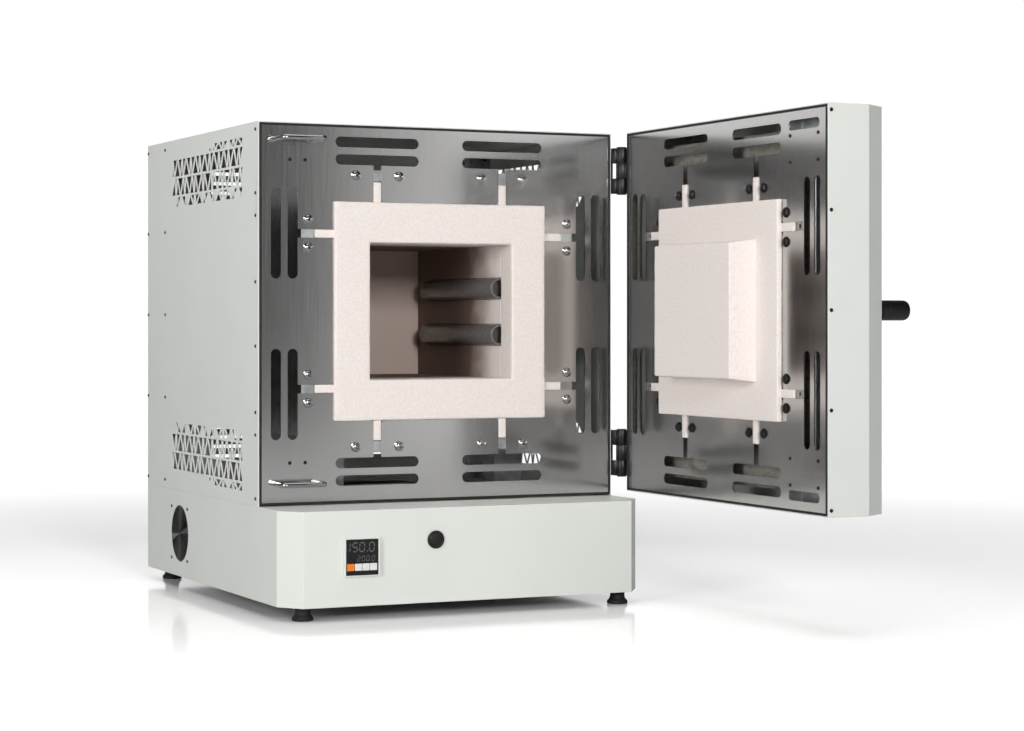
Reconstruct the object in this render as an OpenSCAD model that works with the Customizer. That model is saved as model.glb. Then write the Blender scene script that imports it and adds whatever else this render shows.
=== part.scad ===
// Bench-top laboratory chamber furnace with a side-hung insulated door, standing open.
// Origin on the bench, midway between the base's four sides. +X right, +Y rear, +Z up.

/* [Body] */
// Width of the housing, the base and the door
body_w = 500; // [460:5:560]
// Height of the upper housing above the base
body_h = 487; // [480:1:540]
// Depth of the upper housing, front plate to rear cover
body_d = 487; // [470:5:560]
// Thickness of the painted sheet
sheet_t = 1.5; // [1:0.25:2]
// Width of the black edge seal
seal_w = 3; // [2:0.5:4]
// Height that the edge seal stands above the plates
seal_proud = 1; // [0.5:0.25:1.5]

/* [Base] */
// Height of the control base
base_h = 119; // [110:1:140]
// Distance that the base reaches forward of the front plate
base_overhang = 103; // [100:1:120]
// Width of the corner bevels, seen from the front
bevel_w = 23; // [15:1:28]
// Depth of the corner bevels, front to rear
bevel_d = 33; // [20:1:40]
// Height of the levelling feet
foot_h = 17; // [15:1:30]
// Radius of a foot's rubber bell
foot_r = 13.5; // [11:0.5:16]
// Distance from the sides to the feet
foot_inset_x = 31; // [28:1:60]
// Distance from the front to the front feet
foot_inset_front = 25; // [22:1:60]
// Distance from the rear to the rear feet
foot_inset_rear = 17; // [16:1:60]

/* [Chamber] */
// Width of the heated chamber
chamber_w = 200; // [180:5:210]
// Height of the heated chamber
chamber_h = 176; // [160:4:186]
// Depth of the heated chamber behind the front plate
chamber_d = 315; // [280:5:320]
// Thickness of the insulation at the chamber's sides
side_wall = 48.75; // [44:0.25:52]
// Thickness of the insulation above and below the chamber
top_wall = 52.5; // [48:0.25:54]
// Thickness of the insulation behind the chamber
rear_wall = 50; // [40:1:52]
// Depth of the front insulation frame behind the plate
frame_depth = 30; // [26:1:40]
// Distance that the front frame stands proud of the plate
frame_proud = 6; // [4:0.5:8]
// Thickness of the outer insulating jacket
jacket_t = 20; // [14:1:22]
// Outer radius of a heater tube
tube_r = 14; // [12:0.5:15]
// Bore radius of a heater tube
tube_bore_r = 11; // [10:0.5:11.5]
// Length of a heater tube
tube_len = 246; // [220:2:248]
// Height of the heater tubes above and below the chamber's centre
tube_rise = 31; // [28:1:40]

/* [Front plate pattern] */
// Length of the horizontal vent slots
slot_len = 115; // [100:1:118]
// Width of the vent slots
slot_w = 13.5; // [10:0.5:14]
// Distance from the plates' sides to the horizontal slots' outer ends
slot_side = 104; // [100:0.5:108]
// Distance from the plates' top and bottom to the outer horizontal slots
slot_edge_z = 23; // [20:0.5:25]
// Pitch of the paired slots
slot_pitch = 22.5; // [20:0.5:24]
// Length of the upright vent slots
side_slot_len = 115.5; // [100:0.5:118]
// Distance from the plates' sides to the outer upright slots
slot_edge_x = 23.5; // [21:0.5:26]
// Height of the side slits from the chamber's centre
side_slit_z = 99; // [92:1:104]
// Distance that the lower upright slots hang below their slit
lower_slot_drop = 6.5; // [0:0.5:8]
// Width of the slits for the insulation tabs
slit_w = 11; // [8:0.5:12]
// Width of a clip strap
clip_w = 14.5; // [12:0.5:16]
// Width of a side clip
side_clip_w = 17; // [14:1:18]
// Distance from the first horizontal slot to the clips below it
clip_drop = 20; // [18.5:0.5:22]
// Distance from the inner upright slot to the clips beside it
clip_aside = 20.5; // [19:0.5:22]
// Half the bolt spacing of an upper or lower clip
bolt_half_wide = 30; // [24:1:32]
// Half the bolt spacing of a side clip
bolt_half_side = 18; // [16:0.5:20]

/* [Door] */
// Height of the door's lower edge above the base
door_rise = 7; // [5:1:20]
// Thickness of the door casing
door_t = 89; // [80:1:89]
// Thickness of the insulation slab on the door's inner face
slab_t = 7; // [5:0.5:9]
// Height of the slab
slab_h = 266; // [250:2:276]
// Distance that the plug reaches beyond the slab
plug_depth = 35; // [20:1:38]
// Clearance of the plug in the chamber mouth at each side
plug_gap = 1.5; // [1.5:0.25:3]
// Clearance of the plug in the chamber mouth above and below
plug_gap_high = 1; // [1:0.25:3]
// Taper of the plug at each side
plug_taper = 3.5; // [3:0.5:8]
// Taper of the plug above and below
plug_taper_high = 4.5; // [3:0.5:8]
// Clearance between slab and front frame when closed
closing_gap = 0.4; // [0.3:0.1:1]
// Distance of the hinge axis outside the side panel
hinge_out = 10.4; // [10:0.2:14]
// Distance of the hinge axis in front of the plate
hinge_fwd = 10.9; // [10.5:0.1:12]
// Height of a hinge
hinge_h = 61; // [50:1:70]
// Distance from the door's ends to its hinges
hinge_inset = 20; // [14:1:40]
// Outer radius of the hinge knuckles
knuckle_r = 7.5; // [6.5:0.25:7.75]
// Radius of the hinge pins
hinge_pin_r = 4; // [3:0.25:5]
// Distance from the slab's top and bottom to the door's clips
door_clip_rise = 15.5; // [14:0.5:20]
// Distance from the slab's sides to the door's side clips
door_clip_out = 9; // [8:0.5:12]
// Length of the insulation tabs on the door
door_tab_len = 29; // [24:1:30]
// Half the bolt spacing of a door clip
door_bolt_half = 17.5; // [15:0.5:20]

/* [Latch] */
// Distance from the door's free edge to the middle of the striker loops
latch_inset_x = 52.5; // [51:0.5:55]
// Distance from the door's top and bottom to the striker loops
latch_inset_z = 21; // [19:0.5:25]
// Outer width of a striker loop
loop_w = 63; // [58:1:64]
// Reach of a striker loop from the front plate
loop_reach = 30; // [29:0.5:31]
// Radius of the striker loop's bar
loop_bar_r = 3.5; // [3:0.25:3.5]
// Travel of the latch bolts
latch_travel = 16; // [14:1:18]
// Thickness of a latch bolt
latch_bolt_t = 6; // [4:0.5:6]
// Radius of the cam pins
cam_pin_r = 2.5; // [2:0.25:3]
// Radius of the handle knob
knob_r = 12; // [10:0.5:16]
// Length of the handle knob
knob_len = 39; // [30:1:60]

/* [Controls] */
// Side of the square controller bezel
bezel_w = 48; // [46:1:50]
// Distance from the centre to the controller
controller_x = 151; // [120:1:180]
// Height of the controller above the base's underside
controller_z = 61; // [45:1:75]
// Height that the bezel stands proud
bezel_proud = 4; // [3:0.5:8]
// Travel of a controller key
key_travel = 0.8; // [0.5:0.1:1]
// Distance from the centre to the power button
button_x = 51; // [30:1:80]
// Height of the power button above the base's underside
button_z = 79; // [40:1:90]
// Radius of the power button's collar
collar_r = 11.3; // [11:0.1:12]
// Radius of the power button's cap
button_r = 8.5; // [7:0.25:9]
// Travel of the power button
button_travel = 3; // [2:0.5:4]

/* [Fan] */
// Side of the square fan frame
fan_w = 80; // [76:1:84]
// Depth of the fan frame
fan_t = 25; // [20:1:32]
// Spacing of the fan's screws
fan_pitch = 71.5; // [68:0.5:73]
// Radius of the air opening in the side
fan_open_r = 39; // [36:0.5:41]
// Distance of the fan behind the base's middle
fan_y = 141; // [100:1:180]
// Radius of the rotor's blades
rotor_r = 36; // [30:0.5:37]
// Number of rotor blades
rotor_blades = 7; // [5:1:9]

/* [Side vents] */
// Front edge of the vent groups, behind the front plate
vent_start = 60; // [50:1:80]
// Length of the vent groups
vent_len = 316; // [200:2:320]
// Distance from the housing's top and bottom to the vent groups
vent_margin = 15; // [12:1:30]
// Width of the struts between the shards
strut_w = 3.4; // [2.5:0.1:5]

/* [Small parts] */
// Radius of the small panel screws
screw_r = 1.4; // [1.2:0.1:1.5]
// Radius of the clip bolts
bolt_r = 3; // [2.5:0.25:3.5]
// Clearance round each screw and bolt
bolt_gap = 0.15; // [0.1:0.05:0.3]
// Clearance between sliding and turning pieces
run_gap = 0.06; // [0.03:0.01:0.08]
// Clearance between pieces that only sit together
seat_gap = 0.3; // [0.2:0.05:0.5]
// Bore radius of the cable gland
gland_r = 5; // [4:0.5:6]

/* [Hidden] */
$fn = 48;

// Colours, as the real finishes look
paint = [0.75, 0.77, 0.74];
steel = [0.55, 0.55, 0.56];
chrome = [0.82, 0.82, 0.84];
black = [0.06, 0.06, 0.06];
fibre = [0.93, 0.90, 0.88];
wool = [0.80, 0.78, 0.72];
orange = [0.95, 0.45, 0.10];

// Planes of the base and the housing
base_d = body_d + base_overhang;
x_side = body_w / 2;
x_in = x_side - sheet_t;
y_front = -base_d / 2;
y_back = base_d / 2;
y_plate = y_front + base_overhang;
y_in = y_back - sheet_t;
z_base = foot_h;
z_deck = foot_h + base_h;
z_top = z_deck + body_h;
z_mid = z_deck + body_h / 2;
door_h = body_h - door_rise;
z_axis = z_top - door_h / 2;

// Sizes that follow from the planes
plate_t = 1.5;
flange_d = 15;
plate_w = body_w - 2 * (sheet_t + seal_w);
plate_h = body_h - 2 * (sheet_t + seal_w);
seal_d = 5;
frame_w = chamber_w + 2 * side_wall;
frame_h = chamber_h + 2 * top_wall;
frame_gap = 0.3;
clip_clear = 1;
y_frame_back = y_plate + frame_depth;
y_chamber_back = y_plate + chamber_d;
y_block_back = y_chamber_back + rear_wall;
jacket_start = 9;
cover_lip = 8;
y_jacket = y_plate + jacket_start;
y_jacket_back = y_block_back + jacket_t;
jacket_w = frame_w + 2 * jacket_t;
jacket_h = frame_h + 2 * jacket_t;
mouth_r = 4;

// Places of the slots, clips and strikers, from the chamber's centre
slot_x = x_side - slot_side - slot_len / 2;
slot_z = door_h / 2 - slot_edge_z - slot_pitch;
side_slot_x = x_side - slot_edge_x - slot_pitch;
clip_z = slot_z - clip_drop;
clip_x = side_slot_x - clip_aside;
door_clip_z = slab_h / 2 + door_clip_rise;
door_clip_x = frame_w / 2 + door_clip_out;
latch_x = x_side - latch_inset_x;
latch_z = door_h / 2 - latch_inset_z;

// Small hardware
clip_t = 2;
clip_end = 7;
bolt_head_r = 5.6;
bolt_head_h = 3.2;
washer_r = 6.4;
washer_t = 1;
stud_r = 4;
nut_r = 5;
nut_t = 4;
screw_head_r = 2.4;
screw_head_h = 1;
hole_r = screw_r + bolt_gap;
clip_hole_r = bolt_r + bolt_gap;

// Door planes, in the closed place
door_gap = frame_proud + slab_t + closing_gap;
y_door_in = y_plate - door_gap;
y_door_out = y_door_in - door_t;
z_door = z_top - door_h;
door_plate_w = body_w - 2 * (sheet_t + seal_w);
door_plate_h = door_h - 2 * (sheet_t + seal_w);
hinge_x = x_side + hinge_out;
hinge_y = y_plate - hinge_fwd;
open_angle = 90;
leaf_t = 3;
leaf_len = 26;
leaf_screw_end = 12;
leaf_screw_edge = 9;
knuckle_gap = 0.3;
knuckle_h = (hinge_h - 2 * knuckle_gap) / 3;
hinge_z = [z_door + hinge_inset, z_top - hinge_inset - hinge_h];

door_core_t = 21;
door_screw_in = 4.5;

// Latch works, between the door's inner plate and its casing
y_works = y_door_in - plate_t;
latch_layer_gap = 0.5;
latch_head_gap = 1.8;
y_bolt = y_works - latch_layer_gap - latch_bolt_t;
handle_x = -(side_slot_x + slot_pitch / 2);
cam_t = 4;
cam_disc_r = 16;
cam_throw = latch_travel / sqrt(2);
yoke_gap = 0.7;
spindle_r = 5;
bush_r = spindle_r + 3;
y_cam = y_bolt - latch_layer_gap - cam_t;
bolt_head_w = 45;
rod_w = 9;
pocket_clear = 2.5;
pocket_w = loop_w + 2 * pocket_clear;
pocket_h = 2 * loop_bar_r + 2 * pocket_clear;
housing_w = 74;
housing_h = 60;
housing_t = 19;
housing_lip = 8;
latch_screw_x = 31;
latch_screw_near = 12;
latch_screw_far = 43.5;

// Heights of the side panels' screws from the housing's middle
front_screw_near = 40.7;
front_screw_mid = 124.6;
front_screw_far = 153.2;
front_screw_end = 9.7;
rear_screw_end = 11.5;
rear_screw_top = body_h / 2 - rear_screw_end;
front_screw_rows = [front_screw_near, front_screw_mid, front_screw_far, body_h / 2 - front_screw_end];
rear_screw_rows = [0, rear_screw_top / 2, rear_screw_top];
front_screw_y = y_plate + 10.4;
rear_screw_y = y_back - 4;
post_screw_y = y_back - 86;
post_t = 2;
door_screw_end = 8;
door_screw_top = door_h / 2 - door_screw_end;
door_screw_rows = [0, door_screw_top / 2, door_screw_top];
striker_screw_half = 10.3;
striker_screw_drop = 26.5;

// Controls on the base's front
x_ctrl = -controller_x;
z_ctrl = z_base + controller_z;
case_w = 44.5;
case_d = 92;
lens_w = 42.6;
lens_h = 44.4;
lens_t = 1.5;
lens_recess = 1;
key_w = 9.4;
key_h = 8.8;
key_pitch = 10.1;
key_drop = 12.2;
key_gap = 0.3;
key_proud = 0.6;
key_depth = 3.2;
z_button = z_base + button_z;
barrel_r = collar_r - 1.2;
barrel_len = 34;
collar_proud = 2.2;
cap_len = 9;

// Fan on the base's left side
z_fan = z_base + base_h / 2;
hub_r = 17;
fan_duct_r = rotor_r + 1.6;
fan_pin_r = 2;
fan_back_t = 3;
rotor_t = 15;
guard_rings = 9;
ring_w = 2.2;

// Thin slots in the rear cover and the base tray
rear_slot_len = 90;
rear_slot_w = 5;
rear_slot_rows = 5;

// Shard pattern: steps between the zigzag's corners, and heights of its rows
shard_steps = [14, 15, 5.5, 6, 16, 13, 4.5, 9, 12, 16, 6.5, 5];
shard_rows = [12, 26, 26, 16];
shard_min_r = 0.9;

// Flat outlines

module slot_2d(len, w) {
    square([len - w, w], center = true);
    for (s = [-1, 1])
        translate([s * (len - w) / 2, 0])
            circle(d = w);
}

module frame_2d(w, h, t) {
    difference() {
        square([w, h], center = true);
        square([w - 2 * t, h - 2 * t], center = true);
    }
}

// A slit that leaves the frame's cutout upwards, with a rounded mouth
module slit_2d(from, to, w) {
    translate([-w / 2, from - 1])
        square([w, to - from + 1]);
    for (s = [-1, 1])
        difference() {
            translate([s * (w / 2 + mouth_r / 2 - 0.05), from + mouth_r / 2 - 0.5])
                square([mouth_r + 0.1, mouth_r + 1], center = true);
            translate([s * (w / 2 + mouth_r), from + mouth_r])
                circle(r = mouth_r);
        }
}

// The plan of the base, moved in by a wall's thickness
module base_outline(inset) {
    side_turn = atan2(bevel_w, bevel_d);
    front_turn = 90 - side_turn;
    side_y = y_front + bevel_d + inset * tan(side_turn / 2);
    front_x = x_side - bevel_w - inset * tan(front_turn / 2);
    polygon([
        [-x_side + inset, y_back], [-x_side + inset, side_y],
        [-front_x, y_front + inset], [front_x, y_front + inset],
        [x_side - inset, side_y], [x_side - inset, y_back]
    ]);
}

// The plan of the closed door, moved in by a wall's thickness
module door_outline(inset) {
    side_turn = atan2(bevel_w, bevel_d);
    front_turn = 90 - side_turn;
    side_y = y_door_out + bevel_d + inset * tan(side_turn / 2);
    front_x = x_side - bevel_w - inset * tan(front_turn / 2);
    polygon([
        [-x_side + inset, y_door_in], [-x_side + inset, side_y],
        [-front_x, y_door_out + inset], [front_x, y_door_out + inset],
        [x_side - inset, side_y], [x_side - inset, y_door_in]
    ]);
}

// Vent slots shared by the front plate and the door's inner plate
module vent_slots_2d() {
    for (sx = [-1, 1], sz = [-1, 1], k = [0, 1])
        translate([sx * slot_x, sz * (slot_z + k * slot_pitch)])
            slot_2d(slot_len, slot_w);
    for (sx = [-1, 1], z = [side_slit_z, -side_slit_z - lower_slot_drop], k = [0, 1])
        translate([sx * (side_slot_x + k * slot_pitch), z])
            rotate(90)
                slot_2d(side_slot_len, slot_w);
}

// Slits for the insulation tabs, from a cutout of the given size
module tab_slits_2d(w, h) {
    for (sx = [-1, 1], sz = [0, 1])
        mirror([0, sz, 0])
            translate([sx * slot_x, 0])
                slit_2d(h / 2, slot_z, slit_w);
    for (sx = [0, 1], z = [-side_slit_z, side_slit_z])
        mirror([sx, 0, 0])
            translate([0, z])
                rotate(-90)
                    slit_2d(w / 2, side_slot_x, slit_w);
}

// Solids from flat outlines

// Stands a flat outline up at the chamber's centre, from depth y back by t
module upright(y, t, z = z_axis) {
    translate([0, y + t, z])
        rotate([90, 0, 0])
            linear_extrude(t)
                children();
}

// Stands a flat outline of (y, z) points up along X, from x by t
module sideways(x, t) {
    translate([x, 0, 0])
        rotate([90, 0, 90])
            linear_extrude(t)
                children();
}

module box(x0, x1, y0, y1, z0, z1) {
    translate([x0, y0, z0])
        cube([x1 - x0, y1 - y0, z1 - z0]);
}

// Carries what is drawn in the door's closed place to its open place
module open_place() {
    translate([hinge_x, hinge_y, 0])
        rotate([0, 0, open_angle])
            translate([-hinge_x, -hinge_y, 0])
                children();
}

// A rod along Y, from y0 to y1
module rod_y(r, y0, y1, x = 0, z = 0) {
    translate([x, y1, z])
        rotate([90, 0, 0])
            cylinder(r = r, h = y1 - y0);
}

// A rod along X, from x0 to x1
module rod_x(r, x0, x1, y = 0, z = 0) {
    translate([x0, y, z])
        rotate([0, 90, 0])
            cylinder(r = r, h = x1 - x0);
}

// Places of repeated things

module at_wide_clips(z) {
    for (sx = [-1, 1], sz = [-1, 1])
        translate([sx * slot_x, 0, z_axis + sz * z])
            children();
}

module at_side_clips(x) {
    for (sx = [-1, 1], sz = [-1, 1])
        translate([sx * x, 0, z_axis + sz * side_slit_z])
            children();
}

module at_body_bolts() {
    at_wide_clips(clip_z)
        for (s = [-1, 1])
            translate([s * bolt_half_wide, y_plate, 0])
                children();
    at_side_clips(clip_x)
        for (s = [-1, 1])
            translate([0, y_plate, s * bolt_half_side])
                children();
}

module at_door_bolts() {
    at_wide_clips(door_clip_z)
        for (s = [-1, 1])
            translate([s * door_bolt_half, y_door_in, 0])
                children();
    at_side_clips(door_clip_x)
        for (s = [-1, 1])
            translate([0, y_door_in, s * door_bolt_half])
                children();
}

// Screws in the side panels, as places on the left side
module at_side_screws() {
    for (z = front_screw_rows, s = [-1, 1])
        translate([-x_side, front_screw_y, z_mid + s * z])
            children();
    for (z = rear_screw_rows, s = (z == 0 ? [1] : [-1, 1]), y = [post_screw_y, rear_screw_y])
        translate([-x_side, y, z_mid + s * z])
            children();
}

module at_fan_screws() {
    for (sy = [-1, 1], sz = [-1, 1])
        translate([-x_side, fan_y + sy * fan_pitch / 2, z_fan + sz * fan_pitch / 2])
            children();
}

module at_striker_screws() {
    for (sz = [-1, 1], s = [-1, 1])
        translate([-latch_x + s * striker_screw_half, y_plate,
                   z_axis + sz * (latch_z - striker_screw_drop)])
            children();
}

module at_door_screws() {
    for (sx = [-1, 1], z = door_screw_rows, s = (z == 0 ? [1] : [-1, 1]))
        translate([0, y_door_in - door_screw_in, z_axis + s * z])
            mirror([sx == 1 ? 1 : 0, 0, 0])
                translate([-x_side, 0, 0])
                    children();
}

module at_feet() {
    for (sx = [-1, 1], y = [y_front + foot_inset_front, y_back - foot_inset_rear])
        translate([sx * (x_side - foot_inset_x), y, 0])
            children();
}

// Shared hardware

// A screw with its head outside, pointing along +X
module small_screw(len) {
    translate([-screw_head_h, 0, 0])
        rotate([0, 90, 0])
            difference() {
                cylinder(r1 = screw_head_r - 0.6, r2 = screw_head_r, h = screw_head_h);
                translate([0, 0, -0.01])
                    cylinder(r = 0.8, h = 0.6, $fn = 6);
            }
    rod_x(screw_r, -0.01, len);
}

// A button-head bolt with its washer, pointing along +Y, with its nut
module clip_bolt(grip) {
    rotate([90, 0, 0]) {
        cylinder(r = washer_r, h = washer_t);
        translate([0, 0, washer_t])
            difference() {
                union() {
                    cylinder(r = bolt_head_r, h = 1);
                    translate([0, 0, 1])
                        cylinder(r1 = bolt_head_r, r2 = 3.6, h = bolt_head_h - 1);
                }
                translate([0, 0, bolt_head_h - 1.8])
                    cylinder(r = 2.2, h = 2, $fn = 6);
            }
    }
    rod_y(bolt_r, -0.01, grip + nut_t + 1);
    translate([0, grip + nut_t, 0])
        rotate([90, 0, 0])
            cylinder(r = nut_r, h = nut_t, $fn = 6);
}

module clip_strap(half, upright_strap, y, w) {
    len = 2 * (half + clip_end);
    size = upright_strap ? [w, clip_t, len] : [len, clip_t, w];
    difference() {
        translate([-size[0] / 2, y, -size[2] / 2])
            cube(size);
        for (s = [-1, 1])
            translate(upright_strap ? [0, 0, s * half] : [s * half, 0, 0])
                rod_y(clip_hole_r, y - 1, y + clip_t + 1);
    }
}

// Base

module base_shell() {
    color(paint)
        difference() {
            translate([0, 0, z_base])
                linear_extrude(base_h)
                    base_outline(0);
            translate([0, 0, z_base - 1])
                linear_extrude(base_h + 1 - sheet_t)
                    base_outline(sheet_t);
            // Opening between base and housing, for the leads
            box(-120, 120, y_back - 140, y_back - 60, z_deck - sheet_t - 1, z_deck + 1);
            rod_x(fan_open_r, -x_side - 1, -x_in + 1, fan_y, z_fan);
            at_fan_screws()
                rod_x(hole_r, -1, sheet_t + 1);
            box(x_ctrl - case_w / 2 - seat_gap, x_ctrl + case_w / 2 + seat_gap,
                y_front - 1, y_front + sheet_t + 1,
                z_ctrl - case_w / 2 - seat_gap, z_ctrl + case_w / 2 + seat_gap);
            rod_y(barrel_r + bolt_gap, y_front - 1, y_front + sheet_t + 1, -button_x, z_button);
        }
}

module base_tray() {
    color(steel)
        difference() {
            translate([0, 0, z_base])
                linear_extrude(sheet_t)
                    intersection() {
                        base_outline(sheet_t + bolt_gap);
                        translate([-x_side, y_front])
                            square([body_w, base_d - sheet_t - bolt_gap]);
                    }
            at_feet()
                translate([0, 0, z_base - 1])
                    cylinder(r = stud_r + bolt_gap, h = sheet_t + 2);
            for (k = [0 : 5])
                translate([120, fan_y - 60 + k * 16, z_base - 1])
                    linear_extrude(sheet_t + 2)
                        slot_2d(90, 6);
        }
}

module base_rear_panel() {
    color(paint)
        difference() {
            box(-x_in + bolt_gap, x_in - bolt_gap, y_in, y_back, z_base, z_deck - sheet_t - bolt_gap);
            rod_y(gland_r + 4 + bolt_gap, y_in - 1, y_back + 1, 150, z_fan);
        }
}

// Housing

function shard_sum(k) = k == 0 ? 0 : shard_steps[(k - 1) % len(shard_steps)] + shard_sum(k - 1);
function shard_tip(k, h, from) = [shard_sum(k + from) - shard_sum(from), k % 2 == 0 ? h : 0];
function span(a, b) = norm(a - b);
function incentre(a, b, c) =
    (span(b, c) * a + span(c, a) * b + span(a, b) * c) / (span(a, b) + span(b, c) + span(c, a));
function inradius(a, b, c) =
    abs((b[0] - a[0]) * (c[1] - a[1]) - (c[0] - a[0]) * (b[1] - a[1]))
    / (span(a, b) + span(b, c) + span(c, a));
function row_base(r) = r == 0 ? 0 : row_base(r - 1) + shard_rows[r - 1];

// One row of triangular shards between zigzag struts; keep says which of them are cut
module shard_row(h, from, keep) {
    for (k = [0 : 80]) {
        a = shard_tip(k, h, from);
        b = shard_tip(k + 1, h, from);
        c = shard_tip(k + 2, h, from);
        r = inradius(a, b, c);
        grow = 1 - strut_w / 2 / r;
        if (c[0] < vent_len && a[0] >= 0 && r > strut_w / 2 + shard_min_r && (k + from) % keep != 1) {
            m = incentre(a, b, c);
            polygon([m + grow * (a - m), m + grow * (b - m), m + grow * (c - m)]);
        }
    }
}

// A group of four rows; the outer row covers the front part and the inner row is ragged
module shard_group() {
    for (row = [0 : 3])
        translate([0, -row_base(row) - shard_rows[row]])
            if (row == 0)
                intersection() {
                    shard_row(shard_rows[row], 3, 7);
                    square([vent_len * 0.45, shard_rows[row]]);
                }
            else
                shard_row(shard_rows[row], 5 * row, row == 3 ? 3 : 200);
}

module side_panel() {
    difference() {
        sideways(-x_side, sheet_t)
            difference() {
                translate([y_plate, z_deck])
                    square([body_d, body_h]);
                translate([y_plate + vent_start, z_top - vent_margin])
                    shard_group();
                translate([y_plate + vent_start, z_deck + vent_margin])
                    mirror([0, 1, 0])
                        shard_group();
            }
        at_side_screws()
            rod_x(hole_r, -1, sheet_t + 1);
    }
}

module left_side_panel() {
    color(paint)
        side_panel();
}

module right_side_panel() {
    color(paint)
        difference() {
            mirror([1, 0, 0])
                side_panel();
            at_body_leaf_screws()
                rod_x(hole_r, leaf_t - 0.5, leaf_t + sheet_t + 1);
        }
}

module top_cover() {
    lip_start = flange_d + seal_d;
    color(paint) {
        box(-x_in, x_in, y_plate, y_back, z_top - sheet_t, z_top);
        for (s = [0, 1])
            mirror([s, 0, 0])
                box(-x_in, -x_in + sheet_t, y_plate + lip_start, y_in - lip_start,
                    z_top - cover_lip, z_top - sheet_t);
    }
}

module rear_cover() {
    cover_flange = 10;
    color(paint)
        difference() {
            union() {
                box(-x_in, x_in, y_in, y_back, z_deck, z_top - sheet_t);
                for (s = [0, 1])
                    mirror([s, 0, 0])
                        box(-x_in, -x_in + sheet_t, y_in - cover_flange, y_in,
                            z_deck, z_top - sheet_t);
            }
            for (sx = [-1, 1], sz = [-1, 1], k = [0 : rear_slot_rows - 1])
                translate([sx * 110, y_back + 1, z_mid + sz * (150 + k * 14)])
                    rotate([90, 0, 0])
                        linear_extrude(sheet_t + 2)
                            slot_2d(rear_slot_len, rear_slot_w);
            for (s = [0, 1])
                mirror([s, 0, 0])
                    at_side_screws()
                        rod_x(hole_r, sheet_t - 0.5, 2 * sheet_t + 1);
        }
}

// Posts behind the side panels, and the four stands that carry the chamber casing
module inner_frame() {
    casing_bottom = z_axis - jacket_h / 2 - plate_t;
    post_w = 24;
    stand_inset = 38;
    stand_w = 40;
    stand_d = 30;
    stand_t = 3;
    stand_in = 20;
    color(steel) {
        difference() {
            for (s = [0, 1])
                mirror([s, 0, 0]) {
                    box(-x_in, -x_in + post_t, post_screw_y - post_w / 2,
                        post_screw_y + post_w / 2, z_deck, z_top - cover_lip);
                    box(-x_in, -x_in + post_w, post_screw_y + post_w / 2 - post_t,
                        post_screw_y + post_w / 2, z_deck, z_top - cover_lip);
                }
            for (s = [0, 1])
                mirror([s, 0, 0])
                    at_side_screws()
                        rod_x(hole_r, sheet_t - 0.5, sheet_t + post_t + 1);
        }
        for (y = [y_frame_back + stand_inset, y_chamber_back - stand_inset], s = [0, 1])
            mirror([s, 0, 0])
                translate([jacket_w / 2 - stand_in - stand_w, y, z_deck])
                    difference() {
                        cube([stand_w, stand_d, casing_bottom - z_deck]);
                        translate([stand_t, stand_t, -1])
                            cube([stand_w - 2 * stand_t, stand_d - 2 * stand_t,
                                  casing_bottom - z_deck + 2]);
                    }
    }
}

module front_plate() {
    color(steel)
        difference() {
            union() {
                upright(y_plate, plate_t, z_mid)
                    square([plate_w, plate_h], center = true);
                upright(y_plate + plate_t, flange_d - plate_t, z_mid)
                    frame_2d(plate_w, plate_h, plate_t);
            }
            upright(y_plate - 1, plate_t + 2) {
                square([frame_w + 2 * frame_gap, frame_h + 2 * frame_gap], center = true);
                vent_slots_2d();
                tab_slits_2d(frame_w + 2 * frame_gap, frame_h + 2 * frame_gap);
            }
            at_body_bolts()
                rod_y(clip_hole_r, -1, plate_t + 1);
            at_striker_screws()
                rod_y(hole_r, -1, plate_t + 1);
            for (sz = [-1, 1], s = [-1, 1])
                rod_y(loop_bar_r + bolt_gap, y_plate - 1, y_plate + plate_t + 1,
                      -latch_x + s * (loop_w / 2 - loop_bar_r), z_axis + sz * latch_z);
            for (s = [0, 1])
                mirror([s, 0, 0])
                    at_side_screws()
                        rod_x(hole_r, sheet_t + 1, sheet_t + seal_w + plate_t + 1);
        }
}

module plate_edge_seal() {
    color(black)
        upright(y_plate - seal_proud, seal_d + seal_proud, z_mid)
            frame_2d(body_w - 2 * sheet_t, body_h - 2 * sheet_t, seal_w);
}

// Chamber

module chamber_front_frame() {
    tab_w = slit_w - 2 * frame_gap;
    tab_d = jacket_start;
    color(fibre)
        difference() {
            union() {
                box(-frame_w / 2, frame_w / 2, y_plate - frame_proud, y_frame_back,
                    z_axis - frame_h / 2, z_axis + frame_h / 2);
                for (sx = [-1, 1], s = [-1, 1])
                    translate([sx * slot_x, 0, z_axis])
                        mirror([0, 0, s == 1 ? 0 : 1])
                            box(-tab_w / 2, tab_w / 2, y_plate, y_plate + tab_d,
                                frame_h / 2 - 1, clip_z - clip_w / 2 - clip_clear);
                for (z = [-1, 1], s = [0, 1])
                    translate([0, 0, z_axis + z * side_slit_z])
                        mirror([s, 0, 0])
                            box(frame_w / 2 - 1, clip_x - side_clip_w / 2 - clip_clear,
                                y_plate, y_plate + tab_d, -tab_w / 2, tab_w / 2);
            }
            box(-chamber_w / 2, chamber_w / 2, y_plate - frame_proud - 1, y_frame_back + 1,
                z_axis - chamber_h / 2, z_axis + chamber_h / 2);
        }
}

module chamber_roof() {
    color(fibre)
        box(-chamber_w / 2, chamber_w / 2, y_frame_back, y_chamber_back,
            z_axis + chamber_h / 2, z_axis + frame_h / 2);
}

module chamber_floor() {
    color(fibre)
        box(-chamber_w / 2, chamber_w / 2, y_frame_back, y_chamber_back,
            z_axis - frame_h / 2, z_axis - chamber_h / 2);
}

lead_r = 3;
lead_shift = 7;
tube_gap = 0.5;
tube_start = y_frame_back + 1;

module at_tubes() {
    for (sx = [0, 1], sz = [-1, 1])
        mirror([sx, 0, 0])
            translate([chamber_w / 2, 0, z_axis + sz * tube_rise])
                children();
}

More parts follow.
